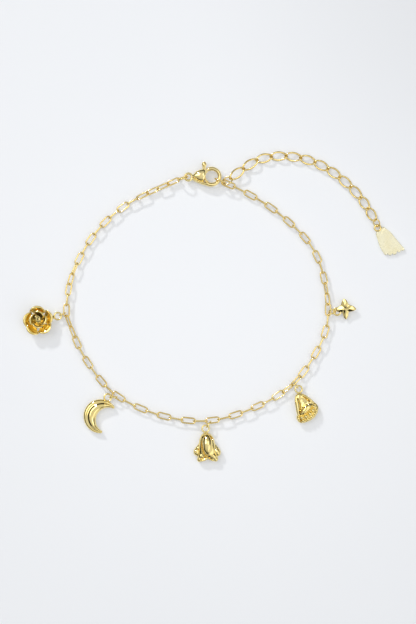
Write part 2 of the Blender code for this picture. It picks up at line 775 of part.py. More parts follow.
def build_rose(gold):
    """Five cupped outer petals, an inner whorl and a rolled bud on a solid calyx."""
    _, eyelet, _ = charm_place("rose")
    centre = in_charm(eyelet, *ROSE_CENTRE, 0.0)
    across, deep = Vector((1.0, 0.0, 0.0)), Vector((0.0, 1.0, 0.0))
    calyx = bmesh.new()
    add_skin(
        calyx,
        [
            oval_section(centre + UP * z * MM, across, deep, r * MM, r * MM, 10)
            for z, r in ROSE_CALYX
        ],
        closed=False,
    )
    rose = add_object("rose_charm", calyx, gold)
    whorls = ((ROSE_OUTER, 5, 5, 4), (ROSE_INNER, 3, 4, 3))
    number = 0
    for shape, count, columns, rows in whorls:
        for i in range(count):
            number += 1
            petal = dict(shape, heading=shape["heading"] + 360.0 * i / count)
            bm = rose_petal(centre, petal, columns, rows)
            sheet = helper(f"rose_petal_{number:02d}", bm, gold)
            solid = sheet.modifiers.new("thickness", "SOLIDIFY")
            solid.thickness = ROSE_PETAL_THICKNESS
            solid.offset = 0.0
            combine(rose, sheet, "UNION")
    stem = bmesh.new()
    wall = eyelet + (centre - eyelet).normalized() * EYELET_RADIUS
    core = centre + UP * eyelet.z
    wall.z = eyelet.z
    aside = UP.cross(core - wall).normalized()
    half = ROSE_STEM_WIRE / 2
    ends = [oval_section(spot, aside, UP, half, half, 8) for spot in (wall, core)]
    add_skin(stem, ends, closed=False)
    combine(rose, helper("rose_stem", stem, gold), "UNION")
    ring = bmesh.new()
    add_eyelet(ring, eyelet)
    combine(rose, helper("rose_eyelet", ring, gold), "UNION")
    hang_charm("rose", eyelet, 0.0, gold)


def build_tag(gold):
    """A flat plate with a notched end, soldered to its eyelet, and the ring that holds it."""
    eyelet = TAG_EYELET_CENTRE.copy()
    plate = bmesh.new()
    outline = [(eyelet.x + x * MM, eyelet.y + y * MM) for x, y in TAG_OUTLINE]
    add_plate(plate, outline, 0.0, TAG_THICKNESS)
    tag = add_object("tag", plate, gold)
    ring = bmesh.new()
    add_eyelet(ring, eyelet, TAG_EYELET_RADIUS)
    combine(tag, helper("tag_eyelet", ring, gold), "UNION")
    joints = extender_joints()
    reach = (EXTENDER_WIRE + EXTENDER_CLEARANCE) / 2
    last_end = joints[-1] + (joints[-1] - joints[-2]).normalized() * reach
    wall = eyelet + (
        Vector((last_end.x - eyelet.x, last_end.y - eyelet.y, 0.0)).normalized()
        * TAG_EYELET_RADIUS
    )
    held = ((last_end, EXTENDER_WIRE), (wall, EYELET_WIRE))
    ring_between("tag_ring", held, TAG_RING_WIRE, TAG_RING_TILT, gold)


def clasp_frame():
    """From the clasp's own plane to the world."""
    return Matrix.Translation(CLASP_EYELET_CENTRE) @ Matrix.Rotation(
        CLASP_HEADING, 4, "Z"
    )


def in_clasp(u, v, z=0.0):
    return Vector((u, v, z))


def add_cylinder(bm, centre, radius, low, high, sides):
    across, deep = Vector((1.0, 0.0, 0.0)), Vector((0.0, 1.0, 0.0))
    add_skin(
        bm,
        [
            oval_section(in_clasp(centre.x, centre.y, z), across, deep, radius, radius, sides)
            for z in (low, high)
        ],
        closed=False,
    )


def hook_sections():
    """Sections of the back band from the eyelet and of the hook that continues it."""
    sections = []
    band = [Vector((u, v)) * MM for u, v, _, _ in CLASP_BAND]
    for i, (_, _, half_width, half_height) in enumerate(CLASP_BAND):
        along = (band[min(i + 1, len(band) - 1)] - band[max(i - 1, 0)]).normalized()
        side = Vector((along.y, -along.x, 0.0))
        centre = in_clasp(*band[i])
        sections.append((centre, side, half_width * MM, half_height * MM))
    for degrees, half_width, half_height in HOOK_SECTIONS:
        angle = math.radians(degrees)
        side = Vector((math.cos(angle), math.sin(angle), 0.0))
        centre = in_clasp(*HOOK_CENTRE) + side * (HOOK_INNER_RADIUS + half_width * MM)
        sections.append((centre, side, half_width * MM, half_height * MM))
    return [
        oval_section(centre, side, UP, half_width, half_height, CLASP_SIDES)
        for centre, side, half_width, half_height in sections
    ]


def lever_outline():
    """The lever's outline round the pin: boss, inner edge along the hook's hole, nose, tab."""
    hole = HOOK_INNER_RADIUS + LEVER_HOLE_MARGIN
    points = []
    for degrees in LEVER_HOLE_ANGLES:
        angle = math.radians(degrees)
        points.append(HOOK_CENTRE + Vector((math.cos(angle), math.sin(angle))) * hole)
    nose = HOOK_TIP_ANGLE + LEVER_NOSE_GAP / HOOK_INNER_RADIUS
    for reach in (hole, hole + HOOK_SECTIONS[-1][1] * 2 * MM):
        points.append(HOOK_CENTRE + Vector((math.cos(nose), math.sin(nose))) * reach)
    points += [Vector(corner) * MM for corner in LEVER_TAB + LEVER_BACK]
    return [point - PIN_PLACE for point in points]


def build_clasp(gold):
    """Bulb, back band, hook and eyelet in one piece, slotted and bored for lever and pin."""
    frame = clasp_frame()
    across, deep = Vector((1.0, 0.0, 0.0)), Vector((0.0, 1.0, 0.0))
    bulb = bmesh.new()
    add_skin(
        bulb,
        [
            oval_section(
                in_clasp(u * MM, (low + high) / 2 * MM),
                deep,
                UP,
                (high - low) / 2 * MM,
                half_height * MM,
                CLASP_SIDES,
            )
            for u, low, high, half_height in BULB_SECTIONS
        ],
        closed=False,
    )
    body = add_object("clasp_body", bulb, gold)

    hook = bmesh.new()
    add_skin(hook, hook_sections(), closed=False)

    eyelet = bmesh.new()
    sections = []
    for i in range(EYELET_STATIONS):
        angle = 2 * math.pi * (i + 0.5) / EYELET_STATIONS
        side = across * math.cos(angle) + deep * math.sin(angle)
        sections.append(
            oval_section(
                side * CLASP_EYELET_RADIUS,
                side,
                UP,
                CLASP_EYELET_HALF_WIDTH,
                CLASP_EYELET_HALF_THICKNESS,
                8,
            )
        )
    add_skin(eyelet, sections, closed=True)

    slot_half = LEVER_THICKNESS / 2 + SLOT_CLEARANCE
    slot = bmesh.new()
    add_plate(slot, slot_outline(), -slot_half, slot_half)

    boss_room = bmesh.new()
    room = LEVER_BOSS_RADIUS + SLOT_CLEARANCE
    add_cylinder(boss_room, PIN_PLACE, room, -slot_half, slot_half, 16)

    bore = bmesh.new()
    radius = PIN_RADIUS + PIN_CLEARANCE
    add_cylinder(bore, PIN_PLACE, radius, -2 * CLASP_HALF_THICKNESS, 2 * CLASP_HALF_THICKNESS, 16)

    steps = (
        ("clasp_hook", hook, "UNION"),
        ("clasp_eyelet", eyelet, "UNION"),
        ("clasp_slot", slot, "DIFFERENCE"),
        ("clasp_boss_room", boss_room, "DIFFERENCE"),
        ("clasp_bore", bore, "DIFFERENCE"),
    )
    body.matrix_world = frame
    for name, bm, operation in steps:
        other = helper(name, bm, gold)
        other.matrix_world = frame
        combine(body, other, operation)

    pin = bmesh.new()
    add_cylinder(pin, PIN_PLACE, PIN_RADIUS, -PIN_LENGTH / 2, PIN_LENGTH / 2, 16)
    add_object("clasp_pin", pin, gold).matrix_world = frame


def slot_outline():
    """The room that the lever's outline sweeps as it opens, in the clasp's plane."""
    outline = lever_outline()
    nose_end = len(LEVER_HOLE_ANGLES) + 2
    back = outline[len(outline) - len(LEVER_BACK) :]
    closed = Matrix.Rotation(-SLOT_SLACK, 2)
    opened = Matrix.Rotation(LEVER_RANGE + 2 * SLOT_SLACK, 2)
    swept = [closed @ point for point in outline[:nose_end]]
    swept.append(Vector((swept[-1].x, SLOT_TOP)))
    back = [opened @ point - Vector((SLOT_CLEARANCE, 0.0)) for point in back]
    swept.append(Vector((back[0].x, SLOT_TOP)))
    return [tuple(point + PIN_PLACE) for point in swept + back]


def build_lever(gold):
    """The hinged gate of the clasp with its thumb tab, its origin on the pin's axis."""
    frame = clasp_frame() @ Matrix.Translation(in_clasp(*PIN_PLACE))
    half = LEVER_THICKNESS / 2
    gate = bmesh.new()
    add_plate(gate, [tuple(point) for point in lever_outline()], -half, half)
    lever = add_object("clasp_lever", gate, gold)

    origin = Vector((0.0, 0.0))
    boss = bmesh.new()
    add_cylinder(boss, origin, LEVER_BOSS_RADIUS, -half, half, 16)

    tab = bmesh.new()
    centre = Vector(LEVER_TAB_MIDDLE) * MM - PIN_PLACE
    sizes = [size * MM for size in LEVER_TAB_HALF_SIZES]
    add_ellipsoid(tab, in_clasp(*centre), (*sizes, TAB_THICKNESS / 2), 0.0, 10, 6)

    bore = bmesh.new()
    add_cylinder(bore, origin, PIN_RADIUS + PIN_CLEARANCE, -2 * half, 2 * half, 16)

    steps = (
        ("lever_boss", boss, "UNION"),
        ("lever_tab", tab, "UNION"),
        ("lever_bore", bore, "DIFFERENCE"),
    )
    lever.matrix_world = frame
    for name, bm, operation in steps:
        other = helper(name, bm, gold)
        other.matrix_world = frame
        combine(lever, other, operation)


def main():
    clear_scene()
    loop_gold = polished("loop_gold", GOLD, 0.18)
    clasp_gold = polished("clasp_gold", GOLD, 0.14)
    charm_gold = polished("charm_gold", GOLD, 0.12)
    rose_gold = polished("rose_gold", DEEP_GOLD, 0.16)
    build_loop(loop_gold)
    build_extender(loop_gold)
    build_end_rings(loop_gold)
    build_clasp(clasp_gold)
    build_lever(clasp_gold)
    build_rose(rose_gold)
    build_moon(charm_gold)
    build_bud(charm_gold)
    build_foot(charm_gold)
    build_star(charm_gold)
    build_tag(charm_gold)
    for obj in bpy.data.objects:
        obj.matrix_world = Matrix.Translation(FOOTPRINT_SHIFT) @ obj.matrix_world


main()
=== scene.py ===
"""Looks of the gold charm anklet.

Every link, ring and charm is a fine smooth mesh that stands for its solid in the frame, in
polished gold, on a pale floor under soft light from the upper left, seen from straight above.
Metres, +Z up.
"""

import math

import bmesh
import bpy
from mathutils import Matrix, Vector


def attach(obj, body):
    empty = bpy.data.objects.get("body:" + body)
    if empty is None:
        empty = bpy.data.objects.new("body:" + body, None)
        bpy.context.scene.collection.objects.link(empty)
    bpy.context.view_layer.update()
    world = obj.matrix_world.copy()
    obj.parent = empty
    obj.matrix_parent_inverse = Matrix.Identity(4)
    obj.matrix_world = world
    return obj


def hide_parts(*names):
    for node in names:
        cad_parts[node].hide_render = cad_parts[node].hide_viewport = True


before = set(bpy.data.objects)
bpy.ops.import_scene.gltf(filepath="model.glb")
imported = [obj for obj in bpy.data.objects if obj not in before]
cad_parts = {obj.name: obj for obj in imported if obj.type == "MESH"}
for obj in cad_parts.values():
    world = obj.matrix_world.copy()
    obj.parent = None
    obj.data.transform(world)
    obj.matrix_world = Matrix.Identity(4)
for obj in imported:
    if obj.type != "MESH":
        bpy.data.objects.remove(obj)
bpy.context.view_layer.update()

MM = 0.001
EAST = Vector((1.0, 0.0, 0.0))
NORTH = Vector((0.0, 1.0, 0.0))
UP = Vector((0.0, 0.0, 1.0))
ANKLET = "anklet"
LEVER = "lever"

# The routes below are given before this shift to the middle of the footprint
FOOTPRINT_SHIFT = Vector((0.294, 0.007, 0.0)) * MM
CLEARANCE = 0.06 * MM
# Steps between two rows: of a route, of a line or section table, of a charm's outline
ROUTE_STEPS = 24
LINE_STEPS = 5
OUTLINE_STEPS = 3
# Sides of a round bar, a bore and the calyx
ROUND_SIDES = 40
# The extender's wires are drawn this much fuller than their solids, within their gaps
FULLER_EXTENDER = 0.04 * MM

# Loop. Columns of the route: joints passed since the hook's ring, x, y and z in millimetres
LOOP_WIRE = 0.42 * MM
LOOP_LINK_WIDTH = 1.90 * MM
# How far a link's wire is centred past its joint
LOOP_OVERHANG = (LOOP_WIRE + CLEARANCE) / 2
LOOP_ROUTE = [
    (0, 2.24, 34.635, 0.86),
    (2, 8.45, 31.75, 0.96),
    (5, 16.98, 26.48, 0.95),
    (9, 26.01, 17.92, 0.95),
    (12, 29.88, 9.44, 0.95),
    (16, 31.41, -2.20, 1.05),
    (19, 28.84, -11.20, 0.95),
    (23, 21.44, -21.55, 1.00),
    (27, 10.44, -28.09, 0.95),
    (31, -2.24, -31.52, 1.20),
    (35, -15.60, -29.78, 0.95),
    (39, -27.95, -23.85, 1.20),
    (43, -35.95, -14.02, 0.95),
    (46, -39.83, -5.40, 1.05),
    (47, -40.95, -2.49, 1.20),
    (48, -40.94, 0.55, 1.20),
    (51, -39.31, 9.14, 0.95),
    (55, -33.32, 20.03, 0.95),
    (59, -24.04, 28.53, 0.95),
    (64, -10.00, 35.27, 1.22),
]
# Turn of the links about the chain. Columns: link number, degrees
LOOP_TWIST = [(1, 0), (13, 0), (17, -90), (22, -90), (25, -180), (45, -180), (48, -270),
              (49, -270), (53, -360), (60, -360), (61, -405), (64, -405)]
LOOP_LINKS = LOOP_ROUTE[-1][0]
FIRST_LEFT_LINK = 32
LINK_END_STATIONS = 13
WIRE_SIDES = 14

# Extender. Columns of the route: joints passed, x, y and z in millimetres
EXTENDER_WIRE = 0.46 * MM
EXTENDER_LINK_WIDTH = 2.76 * MM
EXTENDER_STATIONS = 40
EXTENDER_END_TWIST = math.radians(-45.0)
EXTENDER_CLEARANCE = 0.10 * MM
EXTENDER_OVERHANG = (EXTENDER_WIRE + EXTENDER_CLEARANCE) / 2
EXTENDER_LINKS = 12
EXTENDER_ROUTE = [
    (0, 4.45, 35.55, 1.85),
    (2, 11.72, 40.64, 0.80),
    (4, 19.78, 41.80, 0.70),
    (6, 27.76, 40.05, 0.70),
    (8, 34.63, 35.90, 0.70),
    (10, 40.39, 30.22, 0.70),
    (12, 44.28, 24.05, 0.92),
]

# Jump rings
RING_WIRE = 0.40 * MM
RING_STATIONS = 48
RING_LIFT_ROUNDS = 6
HOOK_RING_WIRE = 0.45 * MM
HOOK_RING_RADIUS = 1.525 * MM
HOOK_RING_CENTRE = Vector((1.52, 34.90, 1.77)) * MM
HOOK_RING_HEADING = math.radians(-20.0)
EXTENDER_RING_RISE = math.radians(15.0)
EXTENDER_RING_TILT = math.radians(-48.0)
CLASP_RING_TILT = math.radians(-10.0)
STAR_RING_TILT = math.radians(40.0)

# Charms and the eyelets that they carry
EYELET_WIRE = 0.48 * MM
EYELET_RADIUS = 0.97 * MM
EYELET_HEIGHT = 1.18 * MM
# Columns: charm, link number, place on the bar as a share, heading of the eyelet in degrees
CHARM_HANGERS = {
    "rose": (48, -0.85, 203.0),
    "moon": (39, 0.80, 184.0),
    "bud": (31, 0.85, 235.0),
    "foot": (23, 0.70, 301.0),
    "star": (16, 0.60, 0.0),
}
CHARM_REACH = 0.85 * MM
CHARM_TABLE_SIZE = 30.0 * MM
CHARM_VOXEL = 0.055 * MM
CHARM_POLISH = 18

# Parts of the cast charms
LOBE_GRID = (28, 16)
RIM_SIDES = 16
CREASE_SIDES = 14
# Height of a crease cutter's middle, and its depth at a thin end as a share of the full one
CREASE_BRIM = 4.6
CREASE_END_DEPTH = 0.55
# A relief's wall. Columns: share of the outline, height as a share of the edge's
RELIEF_WALL = [(0.62, 0.0), (0.80, 0.05), (0.90, 0.16), (0.96, 0.34), (0.99, 0.58), (1.0, 0.82)]
RELIEF_CROWDING = 0.75
BASE_RINGS = 8

# Moon
SOLDER_BITE = 0.09 * MM
MOON_HEADING = math.radians(-111.3)
MOON_OUTER_RADIUS = 4.70 * MM
MOON_INNER_RADIUS = 0.745 * MOON_OUTER_RADIUS
MOON_INNER_OFFSET = 0.528 * MOON_OUTER_RADIUS
MOON_OPENING_HEADING = math.radians(-26.6)
MOON_OPENING = math.radians(62.0)
MOON_HALF_HEIGHT = 1.05 * MM
MOON_RIM = 0.20 * MM
MOON_PUFF = 0.66
MOON_STATIONS = 96
MOON_END_STATIONS = 14
MOON_END_TURN = 0.49 * math.pi
MOON_SIDES = 64
MOON_FULLNESS = 1.35
MOON_CREST = 0.16
# Groove along the crescent: where across the width, half width and depth as shares
MOON_GROOVE = (0.50, 0.20, 0.34)

# Star, in millimetres from its eyelet. Columns of the tips: heading in degrees, reach
STAR_CENTRE = (2.16, 0.94)
STAR_TIPS = [(-4.0, 3.10), (97.0, 2.72), (193.0, 2.60), (275.0, 3.20)]
STAR_WAIST = 1.50
STAR_EDGE_STEPS = 20
STAR_TIP_ROUNDNESS = 1.30
STAR_THICKNESS = 2.50
STAR_LEAN = math.radians(12.0)
STAR_PEAK_SHIFT = Vector((0.05, 0.05))
STAR_VALLEY = 0.16
STAR_VALLEY_SPREAD = 0.7
STAR_FLATNESS = 0.84
# Columns: share of the outline, height from the middle as a share of half the thickness
STAR_ROWS = [
    (0.02, -0.98), (0.25, -0.80), (0.5, -0.62), (0.75, -0.45), (0.93, -0.33), (0.985, -0.24),
    (1.0, 0.0), (0.985, 0.24), (0.93, 0.33), (0.75, 0.45), (0.5, 0.62), (0.25, 0.80),
    (0.02, 0.98),
]
STAR_SHARP_ANGLE = math.radians(50.0)
STAR_BEVEL = 0.07 * MM
STAR_BEVEL_ANGLE = math.radians(24.0)

# Foot, in millimetres from its eyelet
FOOT_OUTLINE = [
    (0.47, -1.05), (-0.55, -1.35), (-1.00, -2.19), (-0.83, -3.96), (-0.58, -5.60),
    (-0.42, -7.23), (-0.35, -8.30), (0.15, -9.10), (0.85, -9.35), (1.60, -9.25), (2.55, -8.95),
    (3.40, -8.55), (4.25, -7.95), (4.78, -7.25), (5.22, -6.50), (5.42, -5.60),
    (5.42, -4.85), (5.10, -4.20), (4.35, -3.55), (3.10, -2.45), (1.75, -1.50),
]
FOOT_MIDDLE = (1.8, -5.4)
FOOT_EDGE_POWER = 3.0
# Height of the edge, height of the top
FOOT_BASE = (1.20, 1.85)
FOOT_ARCH = (1.70, 2.42)
FOOT_ARCH_OUTLINE = [
    (0.42, -1.10), (-0.45, -1.45), (-0.85, -2.40), (-0.62, -4.00), (-0.35, -5.60),
    (-0.10, -6.90), (0.90, -7.00), (2.20, -6.20), (3.30, -5.00), (4.10, -3.75),
    (2.95, -2.60), (1.65, -1.62),
]
FOOT_ARCH_MIDDLE = (1.2, -4.0)
FOOT_ARCH_RINGS = 14
FOOT_ARCH_DIP = 0.55
# The dip's middle and reach, across and then along
FOOT_ARCH_HOLLOW = ((1.3, 1.0), (-3.9, 1.5))
# Columns of a rim: x, y, radius
FOOT_LEFT_RIM = [(-0.30, -1.40, 0.10), (-0.62, -2.00, 0.34), (-0.66, -2.90, 0.46),
                 (-0.50, -4.00, 0.54), (-0.30, -5.30, 0.54), (-0.14, -6.50, 0.46),
                 (-0.02, -7.40, 0.16)]
FOOT_RIGHT_RIM = [(0.70, -1.25, 0.08), (1.50, -1.65, 0.24), (2.50, -2.35, 0.32),
                  (3.50, -3.15, 0.32), (4.30, -3.75, 0.10)]
FOOT_RIM_HEIGHT = 1.88
# Columns: x, y, z, half length, half width, half height, heading in degrees
FOOT_BALL = (1.95, -5.50, 1.35, 2.60, 1.12, 1.62, 45.0)
FOOT_TOES = [
    (0.82, -7.80, 1.50, 0.66, 0.60, 1.12, 20.0),
    (1.98, -7.46, 1.50, 0.74, 0.66, 1.16, 25.0),
    (3.08, -6.74, 1.50, 0.74, 0.66, 1.14, 40.0),
    (3.90, -5.78, 1.46, 0.68, 0.62, 1.08, 60.0),
    (4.20, -4.72, 1.46, 0.64, 0.58, 1.02, 75.0),
    (1.32, -8.70, 1.10, 0.72, 0.62, 1.02, 8.0),
    (2.58, -8.28, 1.10, 0.74, 0.62, 1.02, 25.0),
    (3.60, -7.58, 1.10, 0.72, 0.62, 1.02, 40.0),
    (4.40, -6.72, 1.08, 0.70, 0.60, 1.00, 52.0),
    (4.84, -5.80, 1.05, 0.66, 0.56, 0.96, 75.0),
    (0.00, -8.20, 1.20, 1.10, 0.54, 1.14, -68.0),
]
# A crease's columns: x, y, half width. Each one has the height of its floor
FOOT_CREASES = [
    ([(-0.70, -2.05, 0.06), (-0.20, -2.85, 0.20), (0.26, -3.80, 0.27), (0.46, -4.70, 0.30),
      (0.38, -5.70, 0.28), (0.14, -6.80, 0.12)], 0.70),
    ([(0.14, -6.85, 0.10), (0.62, -6.18, 0.20), (1.05, -5.55, 0.06)], 1.75),
    ([(0.50, -1.45, 0.06), (1.45, -2.12, 0.18), (2.40, -2.85, 0.26), (3.35, -3.55, 0.08)], 0.85),
    ([(0.20, -7.90, 0.06), (0.60, -8.50, 0.21), (0.55, -9.15, 0.16)], 0.60),
    ([(4.45, -4.05, 0.06), (4.80, -4.25, 0.15), (5.15, -4.55, 0.06)], 1.00),
]

# Bud, in millimetres from its eyelet
BUD_OUTLINE = [
    (-0.50, -1.41), (-1.24, -2.11), (-1.74, -2.94), (-1.89, -3.94), (-2.32, -4.68),
    (-2.86, -5.35), (-3.20, -6.09), (-3.08, -7.02), (-2.49, -7.50), (-2.12, -7.84),
    (-2.13, -8.55), (-1.85, -9.05), (-1.20, -9.12), (-0.41, -8.85), (0.25, -8.38),
    (0.91, -8.36), (1.66, -8.75), (2.45, -9.02), (3.11, -8.85), (3.20, -8.25), (3.05, -7.67),
    (3.57, -7.45), (3.98, -6.95), (4.04, -6.18), (3.73, -5.51), (3.19, -4.73), (2.65, -4.10),
    (2.40, -3.28), (2.07, -2.45), (1.58, -1.82), (0.83, -1.41), (0.12, -1.25),
]
BUD_MIDDLE = (0.40, -5.2)
BUD_BASE = (1.25, 1.90)
BUD_EDGE_POWER = 2.6
BUD_SIDES = 32
BUD_SECTION_STEPS = 4
# Columns: y, x, half width, half height
BUD_SECTIONS = [
    (-1.15, 0.15, 0.55, 0.80), (-1.45, 0.20, 1.15, 1.15), (-2.10, 0.30, 1.70, 1.42),
    (-3.20, 0.34, 2.08, 1.52), (-4.60, 0.38, 2.28, 1.52), (-6.00, 0.42, 2.38, 1.45),
    (-7.20, 0.45, 2.25, 1.28), (-8.00, 0.48, 1.70, 1.00),
]
# Columns: x, y, z, half length, half width, half height, heading in degrees
BUD_PETALS = [
    (0.44, -4.30, 1.55, 3.20, 1.72, 2.20, 92.0),
    (1.95, -7.45, 1.15, 1.35, 1.10, 1.30, 150.0),
    (-1.05, -7.35, 1.10, 1.25, 0.95, 1.22, 30.0),
    (3.25, -6.35, 1.05, 1.30, 0.90, 1.05, 108.0),
    (-2.45, -6.30, 1.05, 1.20, 0.90, 1.05, 75.0),
    (-1.62, -8.40, 0.95, 0.85, 0.75, 0.90, 60.0),
    (2.68, -8.20, 1.00, 0.95, 0.80, 0.95, 120.0),
]
# Columns of the lip: x, y, radius
BUD_LIP = [(-1.20, -8.90, 0.22), (-0.35, -8.60, 0.28), (0.50, -8.20, 0.30), (1.20, -8.38, 0.30),
           (2.20, -8.88, 0.24)]
BUD_LIP_HEIGHT = 1.60
# A crease's columns: x, y, half width. Each one has the height of its floor
BUD_CREASES = [
    ([(-0.86, -2.40, 0.06), (-1.04, -3.40, 0.20), (-1.02, -4.50, 0.26), (-0.84, -5.60, 0.29),
      (-0.48, -6.65, 0.30), (-0.05, -7.42, 0.24)], 0.75),
    ([(-0.05, -7.42, 0.20), (0.50, -7.78, 0.17), (1.24, -8.10, 0.20), (2.35, -8.66, 0.07)], 0.65),
    ([(-0.02, -7.48, 0.18), (0.55, -7.16, 0.18), (1.15, -6.92, 0.05)], 1.95),
    ([(0.00, -7.45, 0.18), (-0.66, -7.98, 0.17), (-1.16, -8.34, 0.19), (-1.50, -8.90, 0.08)], 0.65),
    ([(0.70, -1.50, 0.05), (1.25, -1.95, 0.16), (1.70, -2.60, 0.26), (1.90, -3.25, 0.06)], 1.05),
    ([(1.62, -3.10, 0.03), (1.86, -4.60, 0.09), (1.72, -6.20, 0.10), (1.42, -7.00, 0.04)], 2.20),
    ([(2.55, -4.35, 0.06), (3.10, -4.95, 0.16), (3.60, -5.60, 0.06)], 1.15),
    ([(-1.80, -5.05, 0.05), (-1.92, -5.65, 0.18), (-2.07, -6.25, 0.05)], 1.30),
    ([(-2.62, -6.05, 0.06), (-2.68, -6.40, 0.16), (-2.62, -6.75, 0.06)], 1.50),
]

# Rose, in millimetres from its eyelet
ROSE_CENTRE = (-5.35, -1.30)
ROSE_STEM_WIRE = 0.90 * MM
ROSE_STEM_SIDES = 20
ROSE_PETAL_THICKNESS = 0.50
PETAL_COLUMNS = 26
PETAL_ROWS = 16
PETAL_RIM_STEPS = 6
# As shares: where up the petal its curl starts, its foot's width, its sides' thickness
PETAL_CURL_START = 0.72
PETAL_FOOT_WIDTH = 0.45
PETAL_THINNEST = 0.12
# Columns: height, radius
ROSE_CALYX = [(0.0, 0.55), (0.20, 1.20), (0.60, 1.75), (1.00, 1.95), (1.50, 1.36), (2.00, 0.76)]
ROSE_OUTER_HEADINGS = (92.0, 16.0, -50.0, -128.0, 170.0)
ROSE_INNER_HEADINGS = (75.0, -15.0, -105.0, 170.0)
ROSE_OUTER = {"spread": 43.0, "base": 1.1, "reach": 3.45, "low": 0.80, "high": 2.95,
              "round": 0.30, "spiral": 0.26, "flare": 0.50, "droop": 0.34}
ROSE_INNER = {"spread": 54.0, "base": 1.2, "reach": 1.92, "low": 1.00, "high": 4.00,
              "round": 0.20, "spiral": 0.30, "flare": 0.22, "droop": 0.16}
ROSE_INNER_SHIFT = Vector((0.0, 0.35, 0.0)) * MM
ROSE_HEART_SHIFT = Vector((-0.05, 0.62, 0.0)) * MM
ROSE_HEART_RADIUS = 0.78
ROSE_HEART_FLOOR = 1.0
ROSE_HEART_HEIGHT = 4.40
ROSE_HEART_TURNS = 1.60
ROSE_HEART_THICKNESS = 0.30
ROSE_HEART_START = math.radians(-60.0)
ROSE_HEART_CORE = 0.14
ROSE_HEART_FALL = 0.25
ROSE_HEART_COLUMNS = 64
ROSE_HEART_RIM_STEPS = 8
# Painted shade down in the hollow round the heart: height of its middle, then near, far and darkest
ROSE_PAINTED_SHADE_HEIGHT = 1.00 * MM
ROSE_PAINTED_SHADE = (1.05 * MM, 1.85 * MM, 0.10)

# Lobster clasp, in its own plane: u from the eyelet to the hook, v to its thumb side
CLASP_EYELET_CENTRE = Vector((-7.23, 35.93, 1.32)) * MM
CLASP_HEADING = math.radians(4.0)
CLASP_EYELET_RADIUS = 0.97 * MM
CLASP_EYELET_HALF_WIDTH = 0.34 * MM
CLASP_EYELET_HALF_THICKNESS = 0.48 * MM
CLASP_EYELET_SIDES = 18
CLASP_VOXEL = 0.052 * MM
CLASP_POLISH = 6
HOOK_CENTRE = Vector((6.43, -0.34)) * MM
HOOK_INNER_RADIUS = 1.66 * MM
HOOK_TIP_ANGLE = math.radians(120.0)
CLASP_HALF_THICKNESS = 1.30 * MM
HOOK_SIDES = 28
BULB_SIDES = 36
BULB_STEPS = 6
PIN_PLACE = Vector((5.00, -1.80)) * MM
PIN_RADIUS = 0.24 * MM
PIN_LENGTH = 2.00 * MM
PIN_HOLE = PIN_RADIUS + 0.05 * MM
PIN_SIDES = 32
# Columns: share of half the length, share of the radius
PIN_ROWS = [(-1.0, 0.55), (-0.97, 0.80), (-0.90, 1.0), (0.90, 1.0), (0.97, 0.80), (1.0, 0.55)]
LEVER_THICKNESS = 0.80 * MM
LEVER_BOSS_RADIUS = 0.48 * MM
LEVER_RANGE = math.radians(20.0)
LEVER_VOXEL = 0.045 * MM
LEVER_POLISH = 5
TAB_THICKNESS = 1.20 * MM
TAB_GRID = (32, 20)
SLOT_CLEARANCE = 0.10 * MM
# Bulb columns: u, low v, high v, half thickness in millimetres
BULB_SECTIONS = [
    (0.95, -0.35, 0.35, 0.45), (1.50, -0.60, 0.78, 0.75), (2.25, -1.05, 1.45, 1.05),
    (3.00, -1.50, 1.85, 1.24), (3.70, -1.62, 2.02, 1.30), (4.25, -1.50, 2.06, 1.24),
    (4.68, -1.15, 1.92, 1.02),
]
# Back band columns: u, v, half width, half thickness
CLASP_BAND = [
    (0.95, -0.50, 0.28, 0.45), (1.80, -1.10, 0.34, 0.60), (2.90, -1.62, 0.40, 0.80),
    (3.90, -1.95, 0.52, 0.95),
]
# Hook columns: angle round the hook's middle in degrees, half width, half thickness
HOOK_SECTIONS = [
    (234.0, 0.66, 1.00), (256.0, 0.60, 0.88), (280.0, 0.55, 0.74), (303.0, 0.53, 0.66),
    (326.0, 0.52, 0.62), (349.0, 0.52, 0.62), (372.0, 0.52, 0.62), (395.0, 0.53, 0.63),
    (418.0, 0.54, 0.64), (440.0, 0.55, 0.64), (461.0, 0.54, 0.62), (480.0, 0.50, 0.58),
]
CLASP_GROOVE = [(1.45, 0.02), (2.00, -0.55), (2.65, -1.08), (3.35, -1.42)]
CLASP_GROOVE_WIDTH = 0.20 * MM
CLASP_GROOVE_TOP = 0.95 * MM
CLASP_GROOVE_FLOOR = 0.30 * MM
CLASP_GROOVE_SIDES = 10
CLASP_GROOVE_STEPS = 4
LEVER_HOLE_MARGIN = 0.04 * MM
LEVER_HOLE_ANGLES = (214.0, 198.0, 182.0, 166.0, 150.0, 136.0)
LEVER_NOSE_GAP = 0.10 * MM
LEVER_TAB = [(4.95, 2.45), (5.12, 3.05), (4.95, 3.70), (4.45, 3.85), (4.05, 3.45), (4.00, 2.70)]
LEVER_BACK = [(4.02, 2.00), (4.00, 1.00), (4.04, 0.00), (4.20, -1.00), (4.58, -1.62)]
LEVER_TAB_MIDDLE = (4.58, 3.12)
LEVER_TAB_HALF_SIZES = (0.64, 0.86)
SLOT_SLACK = math.radians(1.6)
SLOT_TOP = 5.2 * MM

# Tag
TAG_EYELET_CENTRE = Vector((45.10, 21.85, 0.74)) * MM
TAG_EYELET_RADIUS = 0.85 * MM
TAG_RING_WIRE = 0.36 * MM
TAG_RING_TILT = math.radians(40.0)
TAG_THICKNESS = 0.80 * MM
TAG_BEVEL = 0.24
